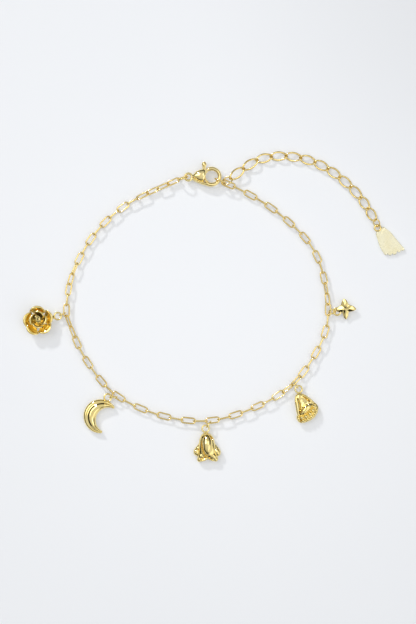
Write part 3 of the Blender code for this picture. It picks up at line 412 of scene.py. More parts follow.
# Edges, as shares of the bevel. Columns: inset, height from the face
TAG_LOWER_EDGE = [(1.0, 0.0), (0.3, 0.3), (0.0, 1.0)]
TAG_UPPER_EDGE = [(0.0, -1.0), (0.12, -0.5), (0.5, -0.12), (1.0, 0.0)]
TAG_SHARP_ANGLE = math.radians(12.0)
TAG_MIDDLE = Vector((3.2, -3.8))
TAG_REACH = 3.5
TAG_OUTLINE_STEPS = 6
TAG_OUTLINE = [
    (-0.36, -1.25), (0.00, -3.25), (0.70, -5.35), (1.80, -7.15), (2.30, -7.50), (2.75, -7.00),
    (3.05, -7.50), (3.70, -7.50), (4.05, -7.00), (4.45, -7.40), (5.10, -7.15), (5.42, -6.40),
    (5.85, -6.75), (6.30, -6.50), (6.42, -6.22), (7.05, -6.25), (7.40, -5.75), (6.06, -4.15),
    (5.00, -2.85), (3.60, -1.15), (2.20, -0.05), (1.50, 0.25),
]

# Camera: straight above, the photograph's frame
VIEW_MIDDLE = Vector((-1.536, -1.383, 0.0)) * MM
VIEW_HEIGHT = 0.72
LENS = 150.0
SENSOR = 36.0
CLIP_START = 0.01

# Golds. Columns: bright tone, deep tone, lowest and highest roughness, strength of the marks
GOLDS = {
    "chain_gold": ((0.91, 0.73, 0.32), (0.84, 0.63, 0.23), 0.07, 0.15, 0.06),
    "clasp_gold": ((0.93, 0.78, 0.38), (0.88, 0.70, 0.30), 0.05, 0.11, 0.06),
    "charm_gold": ((0.92, 0.77, 0.35), (0.86, 0.68, 0.26), 0.05, 0.11, 0.06),
    "tag_gold": ((0.98, 0.93, 0.68), (0.96, 0.89, 0.60), 0.20, 0.28, 0.02),
}
ROSE_GOLD = ((0.93, 0.78, 0.36), (0.87, 0.68, 0.25), 0.05, 0.11, 0.06)
# Noises: scale and detail
GOLD_CLOUDS = (420.0, 4.0)
GOLD_HAZE = (1500.0, 3.0)
HAIRLINE_NOISE = (1.0, 2.0)
FLOOR_CLOUDS = (6.0, 2.0)
STUDIO_WARP = (2.2, 1.0)
# Where the clouds turn deep and where bright, and the span of the haze that is used
GOLD_DEEP_BELOW = 0.35
GOLD_BRIGHT_ABOVE = 0.62
GOLD_HAZE_RANGE = (0.35, 0.70)
HAIRLINE_SCALE = (900.0, 9000.0, 3000.0)
HAIRLINE_TURN = (0.0, 0.0, 0.6)
HAIRLINE_DEPTH = 0.02 * MM

# Floor
FLOOR_SIZE = 1.5
FLOOR_ROUGHNESS = 0.75
FLOOR_SPECULAR = 0.2
FLOOR_GLOW_COLOUR = (0.955, 0.975, 1.0, 1.0)
FLOOR_TONES = [(0.0, (0.600, 0.615, 0.640)), (1.0, (0.630, 0.640, 0.660))]

# Light
KEY_DIRECTION = Vector((-0.565, 0.825, 0.56)).normalized()
KEY_DISTANCE = 1.20
KEY_SIZE = 0.09
KEY_POWER = 6.4
# Painted light: the floor glows, in a pool round the middle and less towards the far right corner.
# Columns: place in millimetres, reach, glow at the place, glow beyond
FLOOR_PAINTED_LIGHT_POOL = ((0.0, 0.0), 125.0, 0.264, 0.196)
FLOOR_PAINTED_CORNER_SHADE = ((75.0, 95.0), 90.0, -0.085, 0.0)
WORLD_STRENGTH = 1.0
STUDIO_WARP_REACH = 0.10
# Columns: height of the direction, colour
STUDIO_WALLS = [
    (0.0, (0.05, 0.045, 0.04)), (0.08, (0.012, 0.012, 0.012)), (0.38, (0.02, 0.02, 0.02)),
    (0.52, (0.42, 0.42, 0.42)), (0.80, (0.62, 0.62, 0.62)), (1.0, (0.80, 0.80, 0.80)),
]
# Columns: heading and angle from the zenith in degrees, inner and outer radius, strength
SOFTBOXES = [
    (150.0, 36.0, 13.0, 20.0, 2.2),
    (-35.0, 66.0, 22.0, 38.0, 0.85),
    (20.0, 26.0, 8.0, 17.0, 1.3),
]


def bearing(angle):
    """The level direction at an angle, counted from +X."""
    return Vector((math.cos(angle), math.sin(angle), 0.0))


def between(a, b, c, d, t):
    """A place on a Catmull-Rom curve through four points, from b at 0 to c at 1."""
    bend = (2 * a - 5 * b + 4 * c - d) * t**2
    return 0.5 * (2 * b + (c - a) * t + bend + (3 * b - a - 3 * c + d) * t**3)


def spline(rows, steps, closed=False):
    """Rows of numbers along a Catmull-Rom curve through the given rows."""
    count = len(rows)
    fine = []
    for i in range(count if closed else count - 1):
        if closed:
            four = [rows[k % count] for k in range(i - 1, i + 3)]
        else:
            four = [rows[min(max(k, 0), count - 1)] for k in range(i - 1, i + 3)]
        for step in range(steps):
            fine.append(tuple(between(*numbers, step / steps) for numbers in zip(*four)))
    if not closed:
        fine.append(tuple(rows[-1]))
    return fine


def loose_object(name, bm, material):
    """A smooth object in the scene from a mesh in the making."""
    bmesh.ops.recalc_face_normals(bm, faces=bm.faces)
    mesh = bpy.data.meshes.new(name)
    bm.to_mesh(mesh)
    bm.free()
    mesh.materials.append(material)
    mesh.shade_smooth()
    obj = bpy.data.objects.new(name, mesh)
    bpy.context.scene.collection.objects.link(obj)
    return obj


def settle(obj, slot, *nodes, body=ANKLET):
    """Puts an object on its body, in place of the nodes that it stands for. The slot is not used.
    """
    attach(obj, body)
    if nodes:
        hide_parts(*nodes)


def piece(name, bm, material, slot, *nodes):
    """A finished smooth piece of the anklet that stands for its nodes."""
    settle(loose_object(name, bm, material), slot, *nodes)


def made(add, *values):
    """A mesh in the making with one form in it."""
    bm = bmesh.new()
    add(bm, *values)
    return bm


def apply_modifiers(obj, helpers=()):
    """Turns the evaluated mesh into the object's own, and removes what only shaped it."""
    graph = bpy.context.evaluated_depsgraph_get()
    mesh = bpy.data.meshes.new_from_object(obj.evaluated_get(graph))
    obj.modifiers.clear()
    obj.data = mesh
    mesh.shade_smooth()
    for other in helpers:
        bpy.data.objects.remove(other, do_unlink=True)


def shape_with(obj, steps, matrix, gold, voxel, rounds):
    """Booleans of an object with more forms in its own plane, then one polished skin."""
    obj.matrix_world = matrix
    helpers = []
    for i, (bm, operation) in enumerate(steps):
        other = loose_object(f"{obj.name}_step_{i + 1:02d}", bm, gold)
        other.matrix_world = matrix
        helpers.append(other)
        boolean = obj.modifiers.new(other.name, "BOOLEAN")
        boolean.operation = operation
        boolean.solver = "EXACT"
        boolean.object = other
    skin = obj.modifiers.new("skin", "REMESH")
    skin.mode = "VOXEL"
    skin.voxel_size = voxel
    skin.use_smooth_shade = True
    polish = obj.modifiers.new("polish", "SMOOTH")
    polish.factor = 0.5
    polish.iterations = rounds
    bpy.context.view_layer.update()
    apply_modifiers(obj, helpers)
    obj.data.transform(matrix)
    obj.matrix_world = Matrix.Identity(4)


def oval_section(centre, side, normal, half_width, half_height, sides):
    """Corners of an oval in the plane of its side and its normal."""
    turns = [2 * math.pi * i / sides for i in range(sides)]
    return [
        centre + side * (half_width * math.cos(turn)) + normal * (half_height * math.sin(turn))
        for turn in turns
    ]


def round_section(centre, radius, sides):
    """Corners of a level circle."""
    return oval_section(centre, EAST, NORTH, radius, radius, sides)


def add_skin(bm, sections, closed=False):
    """Faces between neighbouring cross-sections, and end caps unless the sections close."""
    rings = [[bm.verts.new(corner) for corner in section] for section in sections]
    pairs = list(zip(rings, rings[1:]))
    if closed:
        pairs.append((rings[-1], rings[0]))
    for a, b in pairs:
        for i in range(len(a)):
            j = (i + 1) % len(a)
            bm.faces.new((a[i], a[j], b[j], b[i]))
    if not closed:
        bm.faces.new(rings[0])
        bm.faces.new(list(reversed(rings[-1])))


def add_wire_loop(bm, stations, wire):
    """A closed loop of round wire. A station is a point, its outward side and its normal."""
    half = wire / 2
    sections = [
        oval_section(point, -outward, normal, half, half, WIRE_SIDES)
        for point, outward, normal in stations
    ]
    add_skin(bm, sections, closed=True)


def add_ring(bm, centre, axis_a, axis_b, radius, wire):
    """A round ring of wire in the plane of two axes."""
    normal = axis_a.cross(axis_b).normalized()
    stations = []
    for i in range(RING_STATIONS):
        angle = 2 * math.pi * i / RING_STATIONS
        outward = axis_a * math.cos(angle) + axis_b * math.sin(angle)
        stations.append((centre + outward * radius, outward, normal))
    add_wire_loop(bm, stations, wire)


def add_ball(bm, matrix, segments, rings):
    """A ball of radius 1, placed and drawn out by a matrix."""
    bmesh.ops.create_uvsphere(
        bm, u_segments=segments, v_segments=rings, radius=1.0, matrix=matrix
    )


def equal_steps(curve, count):
    """The points that divide a finely drawn curve into equal stretches, its start left out."""
    lengths = [0.0]
    for a, b in zip(curve, curve[1:]):
        lengths.append(lengths[-1] + (b - a).length)
    found = []
    k = 0
    for step in range(1, count + 1):
        wanted = lengths[-1] * step / count
        while k < len(lengths) - 2 and lengths[k + 1] < wanted:
            k += 1
        share = (wanted - lengths[k]) / (lengths[k + 1] - lengths[k])
        found.append(curve[k].lerp(curve[k + 1], share))
    return found


def smooth_route(rows):
    """Joints along a Catmull-Rom curve through the rows, equally spaced between rows."""
    points = [Vector(row[1:]) * MM + FOOTPRINT_SHIFT for row in rows]
    padded = [points[0] * 2 - points[1], *points, points[-1] * 2 - points[-2]]
    joints = [points[0]]
    for i, (row, following) in enumerate(zip(rows, rows[1:])):
        four = padded[i : i + 4]
        curve = [between(*four, k / ROUTE_STEPS) for k in range(ROUTE_STEPS + 1)]
        joints += equal_steps(curve, following[0] - row[0])
    return joints


LOOP_JOINTS = smooth_route(LOOP_ROUTE)
EXTENDER_JOINTS = smooth_route(EXTENDER_ROUTE)


def route_end(joint, inner, overhang):
    """Where the end link of a route ends, past its last joint."""
    return joint + (joint - inner).normalized() * overhang


def link_twist(number):
    """A link's turn about the chain. Every second link stands square to its neighbours."""
    for (low, start), (high, end) in zip(LOOP_TWIST, LOOP_TWIST[1:]):
        if low <= number <= high:
            turn = start + (end - start) * (number - low) / (high - low)
            return math.radians(turn + (90 if number % 2 == 0 else 0))
    return 0.0


def link_frame(start, end, roll):
    """Middle, direction, width direction and normal of a link between two joints."""
    along = (end - start).normalized()
    left = UP.cross(along).normalized()
    upright = along.cross(left)
    across = left * math.cos(roll) + upright * math.sin(roll)
    return (start + end) / 2, along, across, along.cross(across)


def add_paperclip_link(bm, number):
    """A long link with round ends, its wire just clear of the next link's at each joint."""
    first, last = LOOP_JOINTS[number - 1], LOOP_JOINTS[number]
    along = (last - first).normalized()
    start, end = first - along * LOOP_OVERHANG, last + along * LOOP_OVERHANG
    middle, along, across, normal = link_frame(start, end, link_twist(number))
    half_width = (LOOP_LINK_WIDTH - LOOP_WIRE) / 2
    straight = (end - start).length / 2 - half_width
    stations = []
    for side in (1, -1):
        for i in range(LINK_END_STATIONS):
            angle = math.pi * (i / (LINK_END_STATIONS - 1) - 0.5)
            outward = side * (along * math.cos(angle) + across * math.sin(angle))
            point = middle + along * (side * straight) + outward * half_width
            stations.append((point, outward, normal))
    add_wire_loop(bm, stations, LOOP_WIRE)


def build_loop(gold):
    """The two strands of the loop."""
    halves = {
        "chain_right": range(1, FIRST_LEFT_LINK),
        "chain_left": range(FIRST_LEFT_LINK, LOOP_LINKS + 1),
    }
    for node, numbers in halves.items():
        bm = bmesh.new()
        for number in numbers:
            add_paperclip_link(bm, number)
        piece(node + "_links", bm, gold, "chain_gold", node)


def build_extender(gold):
    """Curb links: ovals whose ends turn opposite ways, so that neighbours cross squarely."""
    half_width = (EXTENDER_LINK_WIDTH - EXTENDER_WIRE - FULLER_EXTENDER) / 2
    for number in range(1, EXTENDER_LINKS + 1):
        start, end = EXTENDER_JOINTS[number - 1], EXTENDER_JOINTS[number]
        middle, along, across, normal = link_frame(start, end, 0.0)
        half_length = (end - start).length / 2 + EXTENDER_OVERHANG
        stations = []
        for i in range(EXTENDER_STATIONS):
            angle = 2 * math.pi * i / EXTENDER_STATIONS
            ahead, aside = math.cos(angle), math.sin(angle)
            twist = EXTENDER_END_TWIST * ahead
            turned = across * math.cos(twist) + normal * math.sin(twist)
            level = normal * math.cos(twist) - across * math.sin(twist)
            outward = along * (ahead / half_length) + turned * (aside / half_width)
            point = middle + along * (half_length * ahead) + turned * (half_width * aside)
            stations.append((point, outward.normalized(), level))
        node = f"extender_link_{number:02d}"
        bm = made(add_wire_loop, stations, EXTENDER_WIRE + FULLER_EXTENDER)
        piece(node + "_wire", bm, gold, "chain_gold", node)


def ring_between(node, held, wire, tilt, gold):
    """A jump ring round two held wires. It leans by tilt from upright and clears the floor."""
    (a, thick_a), (b, thick_b) = held
    along = (b - a).normalized()
    start = a - along * (thick_a / 2 + CLEARANCE + wire / 2)
    end = b + along * (thick_b / 2 + CLEARANCE + wire / 2)
    level = UP.cross(along).normalized()
    leaning = along.cross(level) * math.cos(tilt) + level * math.sin(tilt)
    half = (end - start).length / 2
    lift = 0.0
    for _ in range(RING_LIFT_ROUNDS):
        radius = math.hypot(half, lift)
        needed = radius * math.cos(tilt) + wire / 2 - (start.z + end.z) / 2
        lift = max(lift, needed / math.cos(tilt))
    centre = (start + end) / 2 + leaning * lift
    bm = made(add_ring, centre, along, leaning, radius, wire)
    piece(node + "_wire", bm, gold, "chain_gold", node)


def build_end_rings(gold):
    """The ring in the clasp's hook, the ring at its eyelet and the extender's first ring."""
    heading = bearing(HOOK_RING_HEADING)
    hook_ring = HOOK_RING_CENTRE + FOOTPRINT_SHIFT
    bm = made(add_ring, hook_ring, heading, UP, HOOK_RING_RADIUS, HOOK_RING_WIRE)
    piece("hook_ring_wire", bm, gold, "chain_gold", "hook_ring")

    loop_end = route_end(LOOP_JOINTS[-1], LOOP_JOINTS[-2], LOOP_OVERHANG)
    wall = CLASP_EYELET_CENTRE + FOOTPRINT_SHIFT - bearing(CLASP_HEADING) * CLASP_EYELET_RADIUS
    held = ((loop_end, LOOP_WIRE), (wall, 2 * CLASP_EYELET_HALF_THICKNESS))
    ring_between("clasp_ring", held, RING_WIRE, CLASP_RING_TILT, gold)

    rise = heading * math.cos(EXTENDER_RING_RISE) + UP * math.sin(EXTENDER_RING_RISE)
    first_end = route_end(EXTENDER_JOINTS[0], EXTENDER_JOINTS[1], EXTENDER_OVERHANG)
    wall = hook_ring + rise * HOOK_RING_RADIUS
    held = ((wall, HOOK_RING_WIRE), (first_end, EXTENDER_WIRE))
    ring_between("extender_ring", held, RING_WIRE, EXTENDER_RING_TILT, gold)


def charm_place(charm):
    """Where a charm hangs on a link's outer bar, its eyelet's middle, and the cosine between."""
    number, share, heading = CHARM_HANGERS[charm]
    start, end = LOOP_JOINTS[number - 1], LOOP_JOINTS[number]
    middle, along, across, _ = link_frame(start, end, link_twist(number))
    half_width = (LOOP_LINK_WIDTH - LOOP_WIRE) / 2
    straight = (end - start).length / 2 + LOOP_WIRE / 2 - half_width
    towards = bearing(math.radians(heading))
    side = 1 if across.dot(towards) > 0 else -1
    bar = middle + along * (share * straight) + across * (side * half_width)
    eyelet = bar + towards * (CHARM_REACH + EYELET_RADIUS)
    eyelet.z = EYELET_HEIGHT
    return bar, eyelet, abs(UP.cross(along).normalized().dot(towards))


def eyelet_of(charm):
    """The middle of a charm's eyelet."""
    return charm_place(charm)[1]


def hang_charm(charm, tilt, gold):
    """The jump ring from a link's bar to a charm's eyelet."""
    bar, eyelet, squareness = charm_place(charm)
    level = Vector((bar.x - eyelet.x, bar.y - eyelet.y, 0.0)).normalized()
    wall = eyelet + level * EYELET_RADIUS
    spare = 2 * CLEARANCE + RING_WIRE
    held = ((bar, (LOOP_WIRE + spare) / squareness - spare), (wall, EYELET_WIRE))
    ring_between(charm + "_ring", held, RING_WIRE, tilt, gold)


def add_eyelet(bm, centre, radius=EYELET_RADIUS):
    """A charm's soldered ring, lying level."""
    add_ring(bm, centre, EAST, NORTH, radius, EYELET_WIRE)


def in_charm(eyelet, x, y, z):
    """A point in millimetres from a charm's eyelet, its height from the table."""
    return Vector((eyelet.x + x * MM, eyelet.y + y * MM, z * MM))


def add_lobe(bm, eyelet, row):
    """A ball drawn out along its heading: its place, half sizes and heading in degrees."""
    x, y, z, *half_sizes, heading = row
    turn = Matrix.Rotation(math.radians(heading), 4, "Z")
    sizes = Matrix.Diagonal((*(size * MM for size in half_sizes), 1.0))
    add_ball(bm, Matrix.Translation(in_charm(eyelet, x, y, z)) @ turn @ sizes, *LOBE_GRID)


def aside_of(line, i):
    """Level direction square to a line of rows at its row i."""
    along = Vector(line[min(i + 1, len(line) - 1)][:2]) - Vector(line[max(i - 1, 0)][:2])
    return Vector((along.y, -along.x, 0.0)).normalized()


def add_rim(bm, eyelet, rows, height):
    """A round ridge that follows a line and swells and tapers with its radius."""
    line = spline(rows, LINE_STEPS)
    sections = []
    for i, (x, y, radius) in enumerate(line):
        place, half = in_charm(eyelet, x, y, height), radius * MM
        sections.append(oval_section(place, aside_of(line, i), UP, half, half, RIM_SIDES))
    add_skin(bm, sections)


def add_crease(bm, eyelet, rows, floor):
    """A cutter along a line: an upright oval whose lower end is the crease's floor."""
    line = spline(rows, LINE_STEPS)
    widest = max(row[2] for row in line)
    sections = []
    for i, (x, y, half_width) in enumerate(line):
        full = CREASE_END_DEPTH + (1.0 - CREASE_END_DEPTH) * half_width / widest
        reach = (CREASE_BRIM - floor) * full * MM
        place = in_charm(eyelet, x, y, CREASE_BRIM)
        aside = aside_of(line, i)
        sections.append(oval_section(place, aside, UP, half_width * MM, reach, CREASE_SIDES))
    add_skin(bm, sections)


def add_relief(bm, eyelet, rows, middle, edge_height, height_at, rings, power):
    """A cast form: an outline whose top follows a height function, rounded at its edge."""
    outline = [Vector(row) for row in spline(rows, OUTLINE_STEPS, closed=True)]
    mid = Vector(middle)
    sections = [
        [in_charm(eyelet, *(mid + (p - mid) * share), edge_height * height) for p in outline]
        for share, height in RELIEF_WALL
    ]
    for ring in range(rings):
        share = math.cos(0.5 * math.pi * ring / rings) ** RELIEF_CROWDING
        dome = (1.0 - share**power) ** 0.5
        section = []
        for p in outline:
            x, y = mid + (p - mid) * share
            rise = (height_at(x, y) - edge_height) * dome
            section.append(in_charm(eyelet, x, y, edge_height + rise))
        sections.append(section)
    add_skin(bm, sections)


def add_crescent(bm, middle):
    """A puffed and grooved crescent between two circles, its crest nearer to the inner side."""
    # Columns: turn from the opening, how far that turn is on to the end, share of the width
    stations = []
    for i in range(MOON_STATIONS):
        turn = MOON_OPENING + (2 * math.pi - 2 * MOON_OPENING) * i / (MOON_STATIONS - 1)
        stations.append((turn, 0.0, 1.0))
    turns = [MOON_END_TURN * (k + 1) / MOON_END_STATIONS for k in range(MOON_END_STATIONS)]
    before = [(MOON_OPENING, -math.sin(t), math.cos(t)) for t in reversed(turns)]
    after = [(stations[-1][0], math.sin(t), math.cos(t)) for t in turns]
    groove, groove_reach, groove_depth = MOON_GROOVE
    sections = []
    for turn, onward, share in [*before, *stations, *after]:
        near = MOON_INNER_OFFSET * math.cos(turn) + math.sqrt(
            MOON_INNER_RADIUS**2 - (MOON_INNER_OFFSET * math.sin(turn)) ** 2
        )
        half_width = (MOON_OUTER_RADIUS - near) / 2
        radius = (MOON_OUTER_RADIUS + near) / 2
        side = bearing(MOON_OPENING_HEADING + turn + onward * half_width / radius)
        half_height = min(half_width * MOON_PUFF + MOON_RIM, MOON_HALF_HEIGHT)
        section = []
        for k in range(MOON_SIDES):
            around = 2 * math.pi * k / MOON_SIDES
            across, up = math.cos(around), math.sin(around)
            puff = up
            if up > 0:
                dent = math.exp(-(((across - groove) / groove_reach) ** 2))
                puff = up**MOON_FULLNESS * (1.0 - groove_depth * dent)
            across -= MOON_CREST * max(0.0, up) * (1.0 - across * across)
            place = side * (radius + across * half_width * share)
            section.append(middle + place + UP * (puff * half_height * share))
        sections.append(section)
    add_skin(bm, sections)


def build_moon(gold):
    """The crescent and its eyelet."""
    eyelet = eyelet_of("moon")
    reach = EYELET_RADIUS + MOON_OUTER_RADIUS - SOLDER_BITE
    middle = eyelet + reach * bearing(MOON_HEADING)
    middle.z = MOON_HALF_HEIGHT
    bm = made(add_crescent, middle)
    add_eyelet(bm, eyelet)
    piece("moon_cast", bm, gold, "charm_gold", "moon_charm")
    hang_charm("moon", 0.0, gold)


def star_outline():
    """The star's outline round its middle: rounded arms with a hollow between each two."""
    outline = []
    for i, (turn, reach) in enumerate(STAR_TIPS):
        next_turn, next_reach = STAR_TIPS[(i + 1) % len(STAR_TIPS)]
        span = (next_turn - turn) % 360.0
        for k in range(STAR_EDGE_STEPS):
            t = k / STAR_EDGE_STEPS
            tip = reach + (next_reach - reach) * t
            arm = 1.0 - math.sin(math.pi * t) ** STAR_TIP_ROUNDNESS
            radius = STAR_WAIST + (tip - STAR_WAIST) * arm
            outline.append(bearing(math.radians(turn + span * t)).xy * radius)
    return outline


def build_star(gold):
    """Four rounded arms, ridged to a peak on both faces, leaning a little."""
    eyelet = eyelet_of("star")
    half = STAR_THICKNESS / 2
    lean = Matrix.Rotation(STAR_LEAN, 3, "X")
    centre = in_charm(eyelet, *STAR_CENTRE, half)
    outline = star_outline()
    sections = []
    for share, height in STAR_ROWS:
        section = []
        valley = STAR_VALLEY * math.sin(math.pi * share) ** STAR_VALLEY_SPREAD
        for i, spot in enumerate(outline):
            t = (i % STAR_EDGE_STEPS) / STAR_EDGE_STEPS
            hollow = 1.0 - valley * (4 * t * (1 - t))
            x, y = spot * share + STAR_PEAK_SHIFT * (1.0 - share)
            z = height * half * hollow * STAR_FLATNESS
            section.append(centre + lean @ Vector((x, y, z)) * MM)
        sections.append(section)
    star = loose_object("star_cast", made(add_skin, sections), gold)
    star.data.set_sharp_from_angle(angle=STAR_SHARP_ANGLE)
    bevel = star.modifiers.new("worn_edges", "BEVEL")
    bevel.width = STAR_BEVEL
    bevel.segments = 3
    bevel.limit_method = "ANGLE"
    bevel.angle_limit = STAR_BEVEL_ANGLE
    apply_modifiers(star)
    settle(star, "charm_gold", "star_charm")
    piece("star_eyelet", made(add_eyelet, eyelet), gold, "charm_gold")
    hang_charm("star", STAR_RING_TILT, gold)


def cast_charm(charm, forms, creases, gold):
    """One polished casting from overlapping forms, less its creases, flat on the table."""
    eyelet = eyelet_of(charm)
    steps = [(bm, "UNION") for bm in forms[1:]]
    steps += [(made(add_crease, eyelet, *crease), "DIFFERENCE") for crease in creases]
    steps.append((made(add_eyelet, eyelet), "UNION"))
    table = bmesh.new()
    below = Matrix.Translation((eyelet.x, eyelet.y, -CHARM_TABLE_SIZE / 2))
    bmesh.ops.create_cube(table, size=CHARM_TABLE_SIZE, matrix=below)
    steps.append((table, "DIFFERENCE"))
    obj = loose_object(charm + "_cast", forms[0], gold)
    shape_with(obj, steps, Matrix.Identity(4), gold, CHARM_VOXEL, CHARM_POLISH)
    settle(obj, "charm_gold", charm + "_charm")
    hang_charm(charm, 0.0, gold)


def foot_arch_height(x, y):
    """The arch's top, with a soft dip in its middle."""
    (mid_x, reach_x), (mid_y, reach_y) = FOOT_ARCH_HOLLOW
    dip = math.exp(-(((x - mid_x) / reach_x) ** 2 + ((y - mid_y) / reach_y) ** 2))
    return FOOT_ARCH[1] - FOOT_ARCH_DIP * dip


def build_foot(gold):
    """A sole: a low base, a hollow arch between two rims, the ball, and two rows of toes."""
    eyelet = eyelet_of("foot")
    low, high = FOOT_BASE
    base = (FOOT_OUTLINE, FOOT_MIDDLE, low, lambda x, y: high, BASE_RINGS, FOOT_EDGE_POWER)
    arch = (FOOT_ARCH_OUTLINE, FOOT_ARCH_MIDDLE, FOOT_ARCH[0], foot_arch_height)
    arch += (FOOT_ARCH_RINGS, FOOT_EDGE_POWER)
    rims, lobes = (FOOT_LEFT_RIM, FOOT_RIGHT_RIM), (FOOT_BALL, *FOOT_TOES)
    forms = [made(add_relief, eyelet, *relief) for relief in (base, arch)]
    forms += [made(add_rim, eyelet, rows, FOOT_RIM_HEIGHT) for rows in rims]
    forms += [made(add_lobe, eyelet, row) for row in lobes]
    cast_charm("foot", forms, FOOT_CREASES, gold)


def build_bud(gold):
    """A hanging bell flower: a dome, a long front petal, side petals and its mouth's lip."""
    eyelet = eyelet_of("bud")
    low, high = BUD_BASE
    bell = [
        oval_section(in_charm(eyelet, x, y, half), EAST, UP, width * MM, half * MM, BUD_SIDES)
        for y, x, width, half in spline(BUD_SECTIONS, BUD_SECTION_STEPS)
    ]
    base = (BUD_OUTLINE, BUD_MIDDLE, low, lambda x, y: high, BASE_RINGS, BUD_EDGE_POWER)
    forms = [made(add_relief, eyelet, *base), made(add_skin, bell)]
    forms += [made(add_lobe, eyelet, row) for row in BUD_PETALS]
    forms.append(made(add_rim, eyelet, BUD_LIP, BUD_LIP_HEIGHT))
    cast_charm("bud", forms, BUD_CREASES, gold)


def in_rose(centre, outward, spot):
    """A point from its reach outward and its height, in millimetres."""
    return centre + (outward * spot[0] + UP * spot[1]) * MM


def petal_line(shape, heading, s):
    """Reach, height and swing up a petal, from its foot to its rim, at s across from -1 to 1."""
    line = []
    for row in range(PETAL_ROWS + 1):
        t = row / PETAL_ROWS
        rise = t * (1 - shape["round"] * s * s)
        curl = max(0.0, (rise - PETAL_CURL_START) / (1.0 - PETAL_CURL_START))
        reach = shape["base"] + (shape["reach"] - shape["base"]) * math.sin(rise * math.pi / 2)
        reach += shape["spiral"] * s + shape["flare"] * curl**2
        bow = 1 - math.cos(rise * math.pi / 2)
        height = shape["low"] + (shape["high"] - shape["low"]) * bow - shape["droop"] * curl**3
        wide = PETAL_FOOT_WIDTH + (1.0 - PETAL_FOOT_WIDTH) * t
        line.append((reach, height, math.radians(heading + shape["spread"] * s * wide)))
    return line


def add_petal(bm, centre, heading, shape):
    """A cupped petal with a thick rolled rim, closed all round."""
    sections = []
    for column in range(PETAL_COLUMNS + 1):
        s = 2 * column / PETAL_COLUMNS - 1
        thick = ROSE_PETAL_THICKNESS / 2 * max(PETAL_THINNEST, (1.0 - abs(s) ** 5) ** 0.5)
        line = petal_line(shape, heading, s)
        inner, outer = [], []
        for row, (reach, height, swing) in enumerate(line):
            before, after = line[max(row - 1, 0)], line[min(row + 1, PETAL_ROWS)]
            run = Vector((after[0] - before[0], after[1] - before[1])).normalized()
            normal = Vector((-run.y, run.x))
            outward, spot = bearing(swing), Vector((reach, height))
            inner.append(in_rose(centre, outward, spot + normal * thick))
            outer.append(in_rose(centre, outward, spot - normal * thick))
        # The rim, rolled over from the inner face to the outer one
        for k in range(1, PETAL_RIM_STEPS):
            angle = math.pi * k / PETAL_RIM_STEPS
            rolled = spot + (normal * math.cos(angle) + run * math.sin(angle)) * thick
            inner.append(in_rose(centre, outward, rolled))
        sections.append(inner + list(reversed(outer)))
    add_skin(bm, sections)


def add_rolled_heart(bm, centre):
    """The tight spiral in the rose's middle: one petal wound round itself."""
    half = ROSE_HEART_THICKNESS / 2
    sections = []
    for column in range(ROSE_HEART_COLUMNS + 1):
        share = column / ROSE_HEART_COLUMNS
        outward = bearing(ROSE_HEART_START + 2 * math.pi * ROSE_HEART_TURNS * share)
        radius = ROSE_HEART_RADIUS * (ROSE_HEART_CORE + (1.0 - ROSE_HEART_CORE) * share)
        top = ROSE_HEART_HEIGHT - ROSE_HEART_FALL * share - half
        spots = [(radius + half, ROSE_HEART_FLOOR), (radius + half, top)]
        for k in range(1, ROSE_HEART_RIM_STEPS):
            turn = math.pi * k / ROSE_HEART_RIM_STEPS
            spots.append((radius + half * math.cos(turn), top + half * math.sin(turn)))
        spots += [(radius - half, top), (radius - half, ROSE_HEART_FLOOR)]
        sections.append([in_rose(centre, outward, spot) for spot in spots])
    add_skin(bm, sections)


def build_rose(gold, loop_gold):
    """Five cupped outer petals, an inner whorl and a rolled heart on a round calyx."""
    eyelet = eyelet_of("rose")
    centre = in_charm(eyelet, *ROSE_CENTRE, 0.0)
    calyx = spline(ROSE_CALYX, LINE_STEPS)
    rounds = [round_section(centre + UP * z * MM, r * MM, ROUND_SIDES) for z, r in calyx]
    bm = made(add_skin, rounds)
    for heading in ROSE_OUTER_HEADINGS:
        add_petal(bm, centre, heading, ROSE_OUTER)
    for heading in ROSE_INNER_HEADINGS:
        add_petal(bm, centre + ROSE_INNER_SHIFT, heading, ROSE_INNER)
    add_rolled_heart(bm, centre + ROSE_HEART_SHIFT)
    wall = eyelet + (centre - eyelet).normalized() * EYELET_RADIUS
    core = centre + UP * eyelet.z
    wall.z = eyelet.z
    aside = UP.cross(core - wall).normalized()
    half = ROSE_STEM_WIRE / 2
    ends = [oval_section(p, aside, UP, half, half, ROSE_STEM_SIDES) for p in (wall, core)]
    add_skin(bm, ends)
    add_eyelet(bm, eyelet)
    piece("rose_cast", bm, gold, "rose_gold", "rose_charm")
    hang_charm("rose", 0.0, loop_gold)


def rose_painted_shade():
    """The painted shade in the hollow round the heart: its middle, where it is darkest and where it
    ends.
    """
    centre = in_charm(eyelet_of("rose"), *ROSE_CENTRE, 0.0) + ROSE_HEART_SHIFT
    return (*centre.xy, ROSE_PAINTED_SHADE_HEIGHT), *ROSE_PAINTED_SHADE


